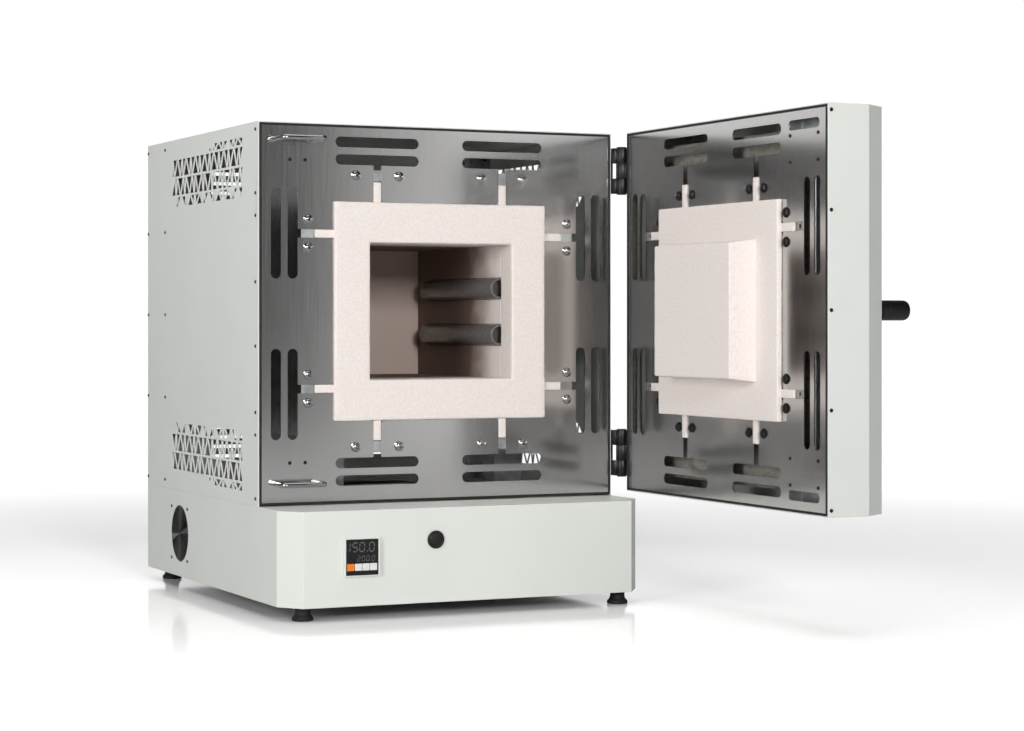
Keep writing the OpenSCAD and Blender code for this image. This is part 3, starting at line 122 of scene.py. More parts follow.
def start_material(name, colour, roughness, metallic=0.0):
    """A material with a Principled shader: itself, its tree, the shader, object coordinates."""
    material = bpy.data.materials.new(name)
    material.use_nodes = True
    tree = material.node_tree
    shader = tree.nodes["Principled BSDF"]
    shader.inputs["Base Color"].default_value = srgb(colour)
    shader.inputs["Roughness"].default_value = roughness
    shader.inputs["Metallic"].default_value = metallic
    place = add(tree, "ShaderNodeTexCoord").outputs["Object"]
    return material, tree, shader, place


def grain(tree, place, size, detail=2.0, stretch=(1, 1, 1), roughness=0.5):
    """Noise whose blobs are size millimetres wide, stretched along the axes."""
    scaled = add(tree, "ShaderNodeMapping", {"Vector": place, "Scale": [1 / s for s in stretch]})
    return add(tree, "ShaderNodeTexNoise", {
        "Vector": scaled.outputs[0], "Scale": 1 / (size * MM), "Detail": detail,
        "Roughness": roughness}).outputs[0]


def tint(tree, shader, factor, colours, span=(0.35, 0.65)):
    """Base colour that runs between two hex colours as the factor crosses the span."""
    ramp = add(tree, "ShaderNodeValToRGB", {0: factor})
    for end, position, colour in zip(ramp.color_ramp.elements, span, colours):
        end.position = position
        end.color = srgb(colour)
    tree.links.new(ramp.outputs[0], shader.inputs["Base Color"])


def vary_roughness(tree, shader, factor, low, high):
    """Roughness that follows the factor between two values."""
    tree.links.new(remap(tree, factor, 0.3, 0.7, low, high), shader.inputs["Roughness"])


def relief(tree, shader, height, depth, strength, under=None):
    """Bump of the given depth in millimetres, on top of another one."""
    bump = add(tree, "ShaderNodeBump", {"Height": height, "Distance": depth * MM,
                                        "Strength": strength})
    if under is not None:
        tree.links.new(under, bump.inputs["Normal"])
    tree.links.new(bump.outputs[0], shader.inputs["Normal"])
    return bump.outputs[0]


def powder_coated_steel():
    # Polyester powder coat: pale grey-green, satin, with the faint orange peel of cured powder
    material, tree, shader, place = start_material("powder_coated_steel", "#dfe2dc", 0.42)
    tint(tree, shader, grain(tree, place, 90), ("#dee1db", "#e0e3dd"))
    vary_roughness(tree, shader, grain(tree, place, 40), 0.41, 0.44)
    relief(tree, shader, grain(tree, place, 2.2), 0.05, 0.35)
    return material


def brushed_stainless_steel():
    # Stainless sheet brushed upright: blurred reflections drawn out along fine streaks
    material, tree, shader, place = start_material("brushed_stainless_steel", "#c3c2c1", 0.15, 1.0)
    streaks = grain(tree, place, 0.9, 3, (1, 1, 70))
    tint(tree, shader, streaks, ("#c1c0bf", "#c6c5c4"))
    vary_roughness(tree, shader, streaks, 0.14, 0.175)
    relief(tree, shader, streaks, 0.01, 0.04)
    return material


def zinc_plated_steel():
    # Bright zinc on folded sheet: greyer than stainless, with cloudy patches
    material, tree, shader, place = start_material("zinc_plated_steel", "#b4b6b6", 0.36, 1.0)
    clouds = grain(tree, place, 14, 4)
    tint(tree, shader, clouds, ("#a3a5a6", "#bfc1c1"))
    vary_roughness(tree, shader, clouds, 0.30, 0.44)
    relief(tree, shader, grain(tree, place, 1.5), 0.02, 0.3)
    return material


def polished_chrome():
    # Chromed steel: near mirror, with a trace of polishing haze
    material, tree, shader, place = start_material("polished_chrome", "#a5a5a6", 0.07, 1.0)
    haze = grain(tree, place, 3, 3)
    tint(tree, shader, haze, ("#9d9d9e", "#adadae"))
    vary_roughness(tree, shader, haze, 0.05, 0.11)
    return material


def turned_steel():
    # Machined steel of the latch works: grey with fine tool marks
    material, tree, shader, place = start_material("turned_steel", "#9c9da0", 0.32, 1.0)
    marks = grain(tree, place, 0.7, 2, (1, 1, 12))
    tint(tree, shader, marks, ("#8f9093", "#a6a7aa"))
    vary_roughness(tree, shader, marks, 0.26, 0.38)
    relief(tree, shader, marks, 0.02, 0.3)
    return material


def vacuum_formed_fibre():
    # Vacuum-formed ceramic fibre: chalky warm white, pitted by a 2 mm grain, faintly mottled
    material, tree, shader, place = start_material("vacuum_formed_fibre", "#ece3dd", 0.95)
    mottle = grain(tree, place, 3.2, 4, roughness=0.65)
    tint(tree, shader, mottle, ("#e6dcd6", "#efe7e2"))
    coarse = grain(tree, place, 2.4, 3, roughness=0.6)
    fine = grain(tree, place, 0.9)
    first = relief(tree, shader, coarse, 0.5, 0.55)
    relief(tree, shader, fine, 0.15, 0.4, first)
    return material


def painted_shade_fibre(name, deep_tone):
    # The same fibre inside the chamber, with painted shade: it darkens towards the rear past a
    # wavering edge, where the lamps' light stops reaching the walls; deep_tone is the colour there
    material, tree, shader, place = start_material(name, deep_tone, 0.95)
    depth = add(tree, "ShaderNodeSeparateXYZ", {0: place}).outputs["Y"]
    waver = remap(tree, grain(tree, place, 30, 3), 0.3, 0.7, -0.012, 0.012)
    at = add(tree, "ShaderNodeMath", {0: depth, 1: waver}, operation="ADD")
    # Painted shade: the ramp from the pale front tone to deep_tone runs where light falls off with
    # depth
    shade_factor = remap(tree, at.outputs[0], -0.150, -0.060)
    tint(tree, shader, shade_factor, ("#eae0da", deep_tone), (0.0, 1.0))
    relief(tree, shader, grain(tree, place, 2.4, 3, roughness=0.6), 0.5, 0.5)
    return material


def fibre_blanket():
    # Needled fibre blanket: grey, darker than the fibre itself as painted shade for the dim insides
    # seen through the slots, matted, with long soft lumps
    material, tree, shader, place = start_material("fibre_blanket", "#8f8b82", 1.0)
    tufts = grain(tree, place, 7, 5, (1, 2.5, 1), 0.7)
    tint(tree, shader, tufts, ("#7a766d", "#a09c94"))
    relief(tree, shader, tufts, 1.6, 0.6)
    return material


def heater_ceramic():
    # Glazed heater tube: dark brown-grey with a soft sheen along its length
    material, tree, shader, place = start_material("heater_ceramic", "#686462", 0.24)
    rings = grain(tree, place, 1.2, 3, (1, 4, 1))
    tint(tree, shader, rings, ("#5f5b59", "#716d6b"))
    vary_roughness(tree, shader, rings, 0.21, 0.27)
    relief(tree, shader, rings, 0.02, 0.2)
    return material


def moulded_rubber():
    # EPDM rubber: black, matt, faintly dusty
    material, tree, shader, place = start_material("moulded_rubber", "#131313", 0.7)
    tint(tree, shader, grain(tree, place, 9, 4), ("#101010", "#1a1a19"))
    relief(tree, shader, grain(tree, place, 0.8), 0.05, 0.5)
    return material


def moulded_abs():
    # Moulded black ABS: satin, with the fine spark-eroded texture of its mould
    material, tree, shader, place = start_material("moulded_abs", "#0a0a0a", 0.36)
    vary_roughness(tree, shader, grain(tree, place, 6, 3), 0.31, 0.42)
    tint(tree, shader, grain(tree, place, 12, 3), ("#080808", "#0d0d0d"))
    relief(tree, shader, grain(tree, place, 0.6), 0.03, 0.5)
    return material


def glossy_wire():
    # Enamelled wire of the fan guard: deep black with sharp glints round each ring
    material, tree, shader, place = start_material("glossy_wire", "#050505", 0.16)
    runs = grain(tree, place, 3)
    tint(tree, shader, runs, ("#040404", "#080808"))
    vary_roughness(tree, shader, runs, 0.13, 0.2)
    return material


def blackened_steel():
    # Black-oxide steel of screws and hinges: dark with a dull metallic glint
    material, tree, shader, place = start_material("blackened_steel", "#1c1c1d", 0.33, 0.6)
    wear = grain(tree, place, 2.5, 4)
    tint(tree, shader, wear, ("#161616", "#262627"))
    vary_roughness(tree, shader, wear, 0.26, 0.42)
    return material


def display_window():
    # Smoked acrylic window: black and glossy
    material, tree, shader, place = start_material("display_window", "#090a09", 0.12)
    vary_roughness(tree, shader, grain(tree, place, 8), 0.10, 0.16)
    tint(tree, shader, grain(tree, place, 20), ("#080908", "#0b0c0b"))
    return material


def display_segments():
    # Unlit display segments: printed grey behind the window
    material, tree, shader, place = start_material("display_segments", "#585a57", 0.4)
    tint(tree, shader, grain(tree, place, 1.5), ("#505250", "#60625f"))
    return material


def key_rubber(name, dark, light):
    # Silicone keys: smooth, slightly soft-looking, with faint lighter patches at random
    material, tree, shader, place = start_material(name, dark, 0.42)
    tint(tree, shader, grain(tree, place, 5, 3), (dark, light))
    relief(tree, shader, grain(tree, place, 0.7), 0.03, 0.4)
    return material


def cast_aluminium():
    # Aluminium heat sink of the relay: pale grey, dull, with long draw marks
    material, tree, shader, place = start_material("cast_aluminium", "#aeb0b2", 0.42, 1.0)
    draw = grain(tree, place, 1.2, 3, (1, 30, 1))
    tint(tree, shader, draw, ("#a2a4a6", "#b9bbbd"))
    vary_roughness(tree, shader, draw, 0.36, 0.5)
    return material


def cream_plastic():
    # Moulded polyamide of the terminal block: cream, matt
    material, tree, shader, place = start_material("cream_plastic", "#d9d5c5", 0.55)
    tint(tree, shader, grain(tree, place, 15, 3), ("#d4d0bf", "#dfdbcc"))
    relief(tree, shader, grain(tree, place, 0.8), 0.04, 0.4)
    return material


PAINT = powder_coated_steel()
BRUSHED = brushed_stainless_steel()
ZINC = zinc_plated_steel()
CHROME = polished_chrome()
TURNED = turned_steel()
FIBRE = vacuum_formed_fibre()
# Painted shade on the side walls, roof and floor; the back wall gets a lighter copy, painted light
# standing in for the light it catches
SHADED_FIBRE = painted_shade_fibre("painted_shade_fibre", "#7d675b")
LIT_BACK_FIBRE = painted_shade_fibre("painted_light_back_fibre", "#d2bfb4")
BLANKET = fibre_blanket()
CERAMIC = heater_ceramic()
RUBBER = moulded_rubber()
ABS = moulded_abs()
WIRE = glossy_wire()
BLACKENED = blackened_steel()
WINDOW = display_window()
SEGMENTS = display_segments()
WHITE_KEY = key_rubber("white_key_rubber", "#dcdcd8", "#e8e8e4")
ORANGE_KEY = key_rubber("orange_key_rubber", "#ee7414", "#f6842a")
ALUMINIUM = cast_aluminium()
CREAM = cream_plastic()


# Ways to finish nodes and pieces

MERGE = 0.005 * MM
FLAT_ANGLE = math.radians(0.6)
EDGE_ANGLE = 50


def dress(node, material, rounding=0.0, pierced=False):
    """A CAD node keeps its shape and gets its material and fine rounded edges."""
    item = nodes[node]
    item.data.materials.clear()
    item.data.materials.append(material)
    if rounding:
        weld = item.modifiers.new("weld", "WELD")
        weld.merge_threshold = MERGE
        if not pierced:
            flat = item.modifiers.new("flat", "DECIMATE")
            flat.decimate_type = "DISSOLVE"
            flat.angle_limit = FLAT_ANGLE
        edge = item.modifiers.new("edge", "BEVEL")
        edge.width = rounding * MM
        edge.segments = 2
        edge.limit_method = "ANGLE"
        edge.angle_limit = math.radians(EDGE_ANGLE)
        edge.use_clamp_overlap = False


def sharpen(bm, angle):
    """Smooth faces, with edges kept sharp past the angle in degrees."""
    for face in bm.faces:
        face.smooth = True
    for edge in bm.edges:
        edge.smooth = len(edge.link_faces) == 2 and edge.calc_face_angle(0) < math.radians(angle)


def finish_piece(name, bm, material, body, replaced=(), smooth=40):
    """Makes the bmesh an object that rides on its body."""
    if smooth:
        sharpen(bm, smooth)
    mesh = bpy.data.meshes.new(name)
    bm.to_mesh(mesh)
    bm.free()
    mesh.materials.append(material)
    piece = bpy.data.objects.new(name, mesh)
    scene.collection.objects.link(piece)
    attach(piece, body)
    if replaced:
        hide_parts(*replaced)


def bevel(bm, edges, width, segments, clamp=False):
    """Rounds edges, with the width in millimetres."""
    bmesh.ops.bevel(bm, geom=list(edges), offset=width * MM, offset_type="OFFSET",
                    segments=segments, profile=0.5, affect="EDGES", material=-1,
                    clamp_overlap=clamp)


def round_edges(bm, width, segments=2, angle=EDGE_ANGLE):
    """Rounds every edge sharper than the angle in degrees."""
    bevel(bm, [e for e in bm.edges
               if len(e.link_faces) == 2 and e.calc_face_angle(0) > math.radians(angle)],
          width, segments, True)


def cut(bm, point, normal):
    """Cuts all faces along a plane and keeps both sides."""
    bmesh.ops.bisect_plane(bm, geom=bm.verts[:] + bm.edges[:] + bm.faces[:], dist=1e-7,
                           plane_co=point, plane_no=normal)


def refine(node, name, material, body, slot, rounding=0.0):
    """A merged, smoothed copy of a CAD node stands for it."""
    bm = bmesh.new()
    bm.from_mesh(nodes[node].data)
    bmesh.ops.remove_doubles(bm, verts=bm.verts, dist=MERGE)
    bmesh.ops.dissolve_limit(bm, angle_limit=FLAT_ANGLE, verts=bm.verts, edges=bm.edges)
    if rounding:
        round_edges(bm, rounding)
    finish_piece(name, bm, material, body, (node,), 35)


def turn(bm, points, axis=(0, 1, 0), centre=(0, 0, 0), steps=48):
    """Spins a profile of (radius, distance along the axis) points, in millimetres."""
    axis = Vector(axis)
    side = Vector((0, 0, 1)) if abs(axis.z) < 0.5 else Vector((1, 0, 0))
    origin = Vector(centre) * MM
    verts = [bm.verts.new(origin + (side * r + axis * a) * MM) for r, a in points]
    edges = [bm.edges.new(pair) for pair in zip(verts, verts[1:])]
    bmesh.ops.spin(bm, geom=verts + edges, cent=origin, axis=axis, dvec=(0, 0, 0),
                   angle=2 * math.pi, steps=steps, use_merge=True, use_duplicate=False)
    bmesh.ops.remove_doubles(bm, verts=bm.verts, dist=0.002 * MM)
    bmesh.ops.recalc_face_normals(bm, faces=bm.faces)


def block(bm, low, high, rounding=0.0, segments=2):
    """Adds a box between two corners in millimetres, with rounded edges."""
    low, high = Vector(low) * MM, Vector(high) * MM
    made = bmesh.ops.create_cube(bm, size=1)["verts"]
    bmesh.ops.transform(bm, verts=made, matrix=Matrix.Translation((low + high) / 2)
                        @ Matrix.Diagonal((*(high - low), 1)))
    if rounding:
        bevel(bm, {e for v in made for e in v.link_edges}, rounding, segments)
    return made


def slab(bm, width, height, y0, y1, rounding=0.0, segments=2):
    """Adds a box of that width and height round the chamber's axis, from y0 to y1."""
    return block(bm, (-width / 2, y0, Z_AXIS - height / 2), (width / 2, y1, Z_AXIS + height / 2),
                 rounding, segments)


def stamp(out, single, places=HERE):
    """Adds a copy of one bmesh at each place."""
    mesh = bpy.data.meshes.new("stamp")
    for place in places:
        copy = single.copy()
        bmesh.ops.transform(copy, verts=copy.verts, matrix=place)
        copy.to_mesh(mesh)
        copy.free()
        out.from_mesh(mesh)
    bpy.data.meshes.remove(mesh)
    single.free()


def moves_to(points):
    """A translation to each point, in millimetres."""
    return [Matrix.Translation(Vector(point) * MM) for point in points]


def slice_up(bm, step):
    """Cuts the mesh into cells of about step millimetres."""
    low = [min(v.co[i] for v in bm.verts) for i in range(3)]
    high = [max(v.co[i] for v in bm.verts) for i in range(3)]
    for i in range(3):
        normal = Vector((0, 0, 0))
        normal[i] = 1
        count = int((high[i] - low[i]) / (step * MM))
        for k in range(1, count):
            cut(bm, normal * (low[i] + (high[i] - low[i]) * k / count), normal)


def roughen(bm, depth, size):
    """Presses the surface in by up to depth, in lumps of that size, as hand-finished fibre."""
    bm.normal_update()
    moves = []
    for v in bm.verts:
        at = v.co / (size * MM)
        lump = noise.noise(at) + 0.5 * noise.noise(at * 2.3)
        moves.append(v.normal * (-abs(lump) * depth * MM))
    for v, move in zip(bm.verts, moves):
        v.co += move


# Chamber: fibre frame with its mouth and tabs

def add_tabs(bm, z_end, x_end, w, h, y0, y1, rounding):
    """Eight tabs from a frame's edges outwards, left out of the roughening."""
    tabs = bmesh.new()
    for sx in (-1, 1):
        for sz in (-1, 1):
            x, z = sx * SLIT_X, sorted((sz * (h / 2 - 2), sz * z_end))
            block(tabs, (x - TAB_HALF, y0, Z_AXIS + z[0]), (x + TAB_HALF, y1, Z_AXIS + z[1]),
                  rounding, 3)
            x, z = sorted((sx * (w / 2 - 2), sx * x_end)), sz * SLIT_Z
            block(tabs, (x[0], y0, Z_AXIS + (z - TAB_HALF)), (x[1], y1, Z_AXIS + (z + TAB_HALF)),
                  rounding, 3)
    stamp(bm, tabs)


def on_mouth_rim(v):
    """Whether a corner of the frame lies on the front rim of its mouth."""
    across = abs(abs(v.co.x) - MOUTH_W / 2 * MM)
    upward = abs(abs(v.co.z - Z_AXIS * MM) - MOUTH_H / 2 * MM)
    return min(across, upward) < 1e-6 and v.co.y < (Y_PLATE - 5) * MM


def fibre_frame():
    bm = bmesh.new()
    slab(bm, FRAME_W, FRAME_H, Y_PLATE - FRAME_PROUD, Y_PLATE + FRAME_DEEP)
    for x in (-MOUTH_W / 2, MOUTH_W / 2):
        cut(bm, Vector((x, 0, 0)) * MM, (1, 0, 0))
    for z in (Z_AXIS - MOUTH_H / 2, Z_AXIS + MOUTH_H / 2):
        cut(bm, Vector((0, 0, z)) * MM, (0, 0, 1))
    middle = [f for f in bm.faces if abs(f.normal.y) > 0.9
              and abs(f.calc_center_median().x) < MOUTH_W / 2 * MM
              and abs(f.calc_center_median().z - Z_AXIS * MM) < MOUTH_H / 2 * MM]
    bmesh.ops.delete(bm, geom=middle, context="FACES")
    bmesh.ops.bridge_loops(bm, edges=[e for e in bm.edges if len(e.link_faces) == 1])
    bmesh.ops.recalc_face_normals(bm, faces=bm.faces)
    mouth = [e for e in bm.edges if len(e.link_faces) == 2 and e.calc_face_angle(0) > 1
             and all(on_mouth_rim(v) for v in e.verts)]
    bevel(bm, mouth, 3, 4)
    round_edges(bm, 1.8, 3, 60)
    slice_up(bm, CELL)
    roughen(bm, 0.5, 9)
    add_tabs(bm, TAB_END_Z, TAB_END_X, FRAME_W, FRAME_H, Y_PLATE - 0.6, Y_PLATE + 9, 0.8)
    finish_piece("chamber_fibre_frame", bm, FIBRE, "housing",
                 ("chamber_front_frame",))


# Door: slab, plug and tabs as one vacuum-formed lining

def tapered_plug(bm):
    y0 = Y_DOOR_IN + SLAB_PROUD
    made = slab(bm, *PLUG_ROOT, y0 - 3, y0 + PLUG_DEPTH)
    for v in made:
        if v.co.y > (y0 + 1) * MM:
            v.co.x *= PLUG_TIP[0] / PLUG_ROOT[0]
            v.co.z = Z_AXIS * MM + (v.co.z - Z_AXIS * MM) * PLUG_TIP[1] / PLUG_ROOT[1]
    bevel(bm, {e for v in made for e in v.link_edges}, 1.6, 3)


def door_lining():
    bm = bmesh.new()
    slab(bm, FRAME_W, SLAB_H, Y_DOOR_IN, Y_DOOR_IN + SLAB_PROUD, 1.4, 3)
    slab(bm, FRAME_W - BEHIND_INSET, SLAB_H - BEHIND_INSET, Y_DOOR_IN - BEHIND_DEEP,
         Y_DOOR_IN + 2, 1)
    plug = bmesh.new()
    tapered_plug(plug)
    stamp(bm, plug)
    slice_up(bm, CELL)
    roughen(bm, 0.55, 8)
    add_tabs(bm, SLAB_H / 2 + DOOR_TAB, FRAME_W / 2 + DOOR_TAB, FRAME_W, SLAB_H,
             Y_DOOR_IN - 1.2, Y_DOOR_IN + 2, 0.7)
    bmesh.ops.transform(bm, verts=bm.verts, matrix=OPEN)
    finish_piece("door_fibre_lining", bm, FIBRE, "door", ("door_plug_slab",))


# Bolts

def bolt_places(y, z, wide_half, x, side_half):
    """Two bolts at each of the eight clips: wide clips above and below, the others beside."""
    wide = [(sx * SLIT_X + s * wide_half, y, Z_AXIS + sz * z)
            for sx in (-1, 1) for sz in (-1, 1) for s in (-1, 1)]
    side = [(sx * x, y, Z_AXIS + (sz * SLIT_Z + s * side_half))
            for sx in (-1, 1) for sz in (-1, 1) for s in (-1, 1)]
    return moves_to(wide + side)


def bolt(way):
    """Washer, shank and nut of an M6 bolt; way is -1 or 1, the side its head is on along Y."""
    bm = bmesh.new()
    turn(bm, [(0, 0), (6.0, 0), (6.4, way * 0.3), (6.4, way * 0.8), (6.1, way), (0, way)])
    turn(bm, [(0, way * 0.01), (3, way * 0.01), (3, -way * (GRIP + 4.5)),
              (2.5, -way * (GRIP + 5)), (0, -way * (GRIP + 5))], steps=24)
    turn(bm, [(0, -way * GRIP), (5.0, -way * GRIP), (5.0, -way * (GRIP + 4)),
              (0, -way * (GRIP + 4))], steps=6)
    return bm


def body_bolts():
    # Pan heads with a recess
    bm, single = bmesh.new(), bolt(-1)
    turn(single, [(0, -0.9), (5.3, -0.9), (5.6, -1.1), (5.55, -1.9), (5.0, -2.9), (3.9, -3.7),
                  (2.7, -4.1), (2.3, -4.15), (2.1, -3.9), (2.1, -2.4), (0, -2.2)], steps=36)
    stamp(bm, single, bolt_places(Y_PLATE, CLIP_Z, CLIP_WIDE, CLIP_X, CLIP_SIDE))
    finish_piece("chrome_clip_bolts", bm, CHROME, "housing", ("clip_bolts",))


def door_bolts():
    # Hexagons with a domed end
    bm, single = bmesh.new(), bolt(1)
    turn(single, [(0, 0.9), (5.6, 0.9), (5.6, 2.2), (5.1, 2.9), (0, 2.9)], steps=6)
    turn(single, [(0, 2.8), (4.4, 2.8), (4.3, 3.3), (3.5, 3.9), (2.2, 4.15), (0, 4.2)], steps=32)
    stamp(bm, single, bolt_places(Y_DOOR_IN, DOOR_CLIP_Z, DOOR_CLIP_HALF, DOOR_CLIP_X,
                                  DOOR_CLIP_HALF))
    bmesh.ops.transform(bm, verts=bm.verts, matrix=OPEN)
    finish_piece("black_clip_bolts", bm, BLACKENED, "door", ("door_clip_bolts",))


# Knob, button, feet

def knob():
    bm = bmesh.new()
    turn(bm, [(0, 0), (11.2, 0), (12, -0.8), (12, -8.2), (11.5, -8.7), (11.5, -9.6), (12, -10.1),
              (12, -33.5), (11.6, -36), (10.6, -37.8), (9.0, -38.7), (7.0, -39), (0, -39)],
         centre=(HANDLE_X, Y_DOOR_OUT - 3, Z_AXIS))
    bmesh.ops.transform(bm, verts=bm.verts, matrix=OPEN)
    finish_piece("round_handle_knob", bm, ABS, "handle", ("handle_knob",))


def button():
    bm = bmesh.new()
    turn(bm, [(0, -0.6), (7.6, -0.6), (8.2, -0.4), (8.5, 0), (8.5, 8.4), (0, 8.4)],
         centre=(BUTTON_X, Y_FRONT - 2.2, BUTTON_Z))
    finish_piece("power_button_cap", bm, ABS, "power_button", ("power_button",))


def feet():
    bm, single = bmesh.new(), bmesh.new()
    turn(single, [(0, 0), (12.2, 0), (13.2, 0.5), (13.5, 1.4), (13.4, 3.2), (12.9, 4.4),
                  (11.7, 5.6), (10.5, 7.0), (9.8, 8.8), (9.5, 11), (9.5, 16.4), (9.1, 17), (0, 17)],
         axis=(0, 0, 1), steps=40)
    stamp(bm, single, moves_to((sx * (X_SIDE - 31), y, 0) for sx in (-1, 1)
                               for y in (Y_FRONT + 25, Y_BACK - 17)))
    finish_piece("rubber_bell_feet", bm, RUBBER, "housing", ("foot_pads",))


# Fan guard of fine rings

def ring_guard():
    bm, spokes = bmesh.new(), bmesh.new()
    centre = (-X_SIDE, FAN_Y, FAN_Z)
    rings, radius, wire = 17, 38.6, 0.62
    angles = [math.radians(40 * i) for i in range(10)]
    for k in range(1, rings + 1):
        r = k * (radius / (rings + 0.5))
        turn(bm, [(r + wire * math.cos(a), 0.75 + wire * math.sin(a)) for a in angles],
             (1, 0, 0), centre, 64)
    turn(bm, [(0, 0.2), (1.6, 0.2), (1.8, 0.5), (1.8, 1.4), (0, 1.4)], (1, 0, 0), centre, 24)
    block(spokes, (0.7, 1.2, -1.2), (1.45, 38.7, 1.2), 0.2)
    stamp(bm, spokes, [Matrix.Translation(Vector(centre) * MM)
                       @ Matrix.Rotation(math.radians(45 + 90 * k), 4, "X") for k in range(4)])
    finish_piece("fan_ring_guard", bm, WIRE, "housing", ("fan_guard",))


# Display digits, as seven-segment figures that lean

SEGMENT_MAP = {"0": "abcdef", "1": "bc", "2": "abged", "5": "afgcd"}
LEAN = 0.07
PRINT = 0.06
Y_DISPLAY = Y_FRONT - 3


def bar(bm, x0, z0, x1, z1, w):
    """A six-sided segment from one end to the other, w wide."""
    a, b = Vector((x0, z0)), Vector((x1, z1))
    along = (b - a).normalized() * w / 2
    across = Vector((-along.y, along.x))
    corners = [a, a + along + across, b - along + across, b, b - along - across,
               a + along - across]
    face = bm.faces.new([bm.verts.new(Vector((c.x, Y_DISPLAY, c.y)) * MM) for c in corners])
    made = bmesh.ops.extrude_face_region(bm, geom=[face])["geom"]
    bmesh.ops.translate(bm, vec=Vector((0, -PRINT, 0)) * MM,
                        verts=[g for g in made if isinstance(g, bmesh.types.BMVert)])


def digit(bm, char, x, z, w, h, stroke):
    """A figure w wide and h high whose lower left corner is at x, z."""
    gap = stroke * 0.28
    ends = {"a": (0, h, w, h), "b": (w, h / 2, w, h), "c": (w, 0, w, h / 2), "d": (0, 0, w, 0),
            "e": (0, 0, 0, h / 2), "f": (0, h / 2, 0, h), "g": (0, h / 2, w, h / 2)}
    for name in SEGMENT_MAP[char]:
        x0, z0, x1, z1 = ends[name]
        length = math.hypot(x1 - x0, z1 - z0)
        ux, uz = (x1 - x0) / length * gap, (z1 - z0) / length * gap
        bar(bm, x + x0 + ux + LEAN * (z0 + uz), z + z0 + uz,
            x + x1 - ux + LEAN * (z1 - uz), z + z1 - uz, stroke)


def number(bm, text, places, z, w, h, stroke, dot_x, dot_z, dot):
    """A row of figures w by h with its square dot, all placed from the controller's centre."""
    for char, x in zip(text, places):
        digit(bm, char, CTRL_X + x, CTRL_Z + z, w, h, stroke)
    x, z = CTRL_X + dot_x, CTRL_Z + dot_z
    block(bm, (x, Y_DISPLAY - PRINT, z), (x + dot, Y_DISPLAY, z + dot))


def display():
    bm = bmesh.new()
    number(bm, "1500", (-22.6, -12.9, -3.6, 9.4), 7.2, 6.2, 10.8, 1.5, 5.9, 6.6, 1.5)
    number(bm, "2000", (-6.4, -0.4, 5.6, 13.0), -4.6, 3.6, 6.2, 0.8, 11.1, -5, 0.9)
    bmesh.ops.recalc_face_normals(bm, faces=bm.faces)
    finish_piece("display_digits", bm, SEGMENTS, "housing", smooth=0)


# Every CAD node that stays. The plates keep their sharp edges, since rounding tears thin slivers
# between their holes; pierced nodes aren't flattened, since that closes their openings.
# Material, rounding in millimetres, pierced, nodes

for material, rounding, pierced, names in (
        (PAINT, 0.5, False, ("base_shell", "base_rear_panel", "left_side_panel",
                             "right_side_panel", "top_cover", "rear_cover", "door_casing")),
        (PAINT, 0.5, True, ("controller_bezel",)),
        (BRUSHED, 0, False, ("front_plate", "door_inner_plate")),
        (ZINC, 0.3, False, ("base_tray", "inner_frame", "chamber_casing", "frame_clips",
                            "door_clips", "latch_housings", "foot_studs")),
        # Chamber walls with painted shade towards the rear; the back wall with its painted lighter
        # copy
        (SHADED_FIBRE, 0.8, False, ("chamber_roof", "chamber_floor", "left_heater_slab",
                              "right_heater_slab")),
        (LIT_BACK_FIBRE, 0.8, False, ("chamber_back",)),
        (BLANKET, 2.0, False, ("insulation_jacket", "door_backing")),
        (RUBBER, 0.6, False, ("plate_edge_seal", "door_edge_seal")),
        (BLACKENED, 0, False, ("panel_screws", "door_screws", "latch_screws")),
        (ABS, 0.4, True, ("controller_case",)),
        (WINDOW, 0.12, True, ("controller_lens",)),
        (ALUMINIUM, 0.4, False, ("relay_module",)),
        (CREAM, 0.6, False, ("terminal_block",)),
        (TURNED, 0.5, False, ("upper_latch_bolt", "lower_latch_bolt")),
        (ORANGE_KEY, 0.5, False, ("set_key",)),
        (WHITE_KEY, 0.5, False, ("shift_key", "down_key", "up_key"))):
    for name in names:
        dress(name, material, rounding, pierced)

# Refined copies of the round ones: node, piece, material, body, slot, rounding in millimetres
for row in (
        ("striker_loops", "polished_striker_loops", CHROME, "housing", "polished_steel"),
        ("hinge_pins", "turned_hinge_pins", BLACKENED, "housing", "zinc_steel", 0.4),
        ("body_hinge_leaves", "black_body_hinges", BLACKENED, "housing", "black_screws", 0.4),
        ("door_hinge_leaves", "black_door_hinges", BLACKENED, "door", "black_screws", 0.4),
        ("heater_tubes", "glazed_heater_tubes", CERAMIC, "housing", "heater_ceramic", 0.5),
        ("heater_elements", "heater_cores", CERAMIC, "housing", "heater_ceramic", 0.3),
        ("thermocouple", "ceramic_thermocouple", FIBRE, "housing", "fibre_insulation", 0.5),
        ("switch_body", "power_button_collar", ABS, "housing", "black_plastic", 0.4),
        ("fan_frame", "moulded_fan_frame", ABS, "housing", "black_plastic", 0.5),
        ("fan_rotor", "moulded_fan_rotor", ABS, "fan_rotor", "black_plastic", 0.3),
        ("cable_gland", "moulded_cable_gland", ABS, "housing", "black_plastic", 0.5),
        ("handle_bush", "handle_bearing_bush", ABS, "door", "black_plastic", 0.4),
        ("handle_spindle", "turned_handle_spindle", TURNED, "handle", "zinc_steel", 0.4)):
    refine(*row)

# New pieces
for make in (fibre_frame, door_lining, body_bolts, door_bolts, knob, button, feet, ring_guard,
             display):
    make()


# Studio: floor, world and lamps

WHITE = (1, 1, 1, 1)
SEEN_WHITE = 1.05


def grey(level):
    return (level, level, level, 1)


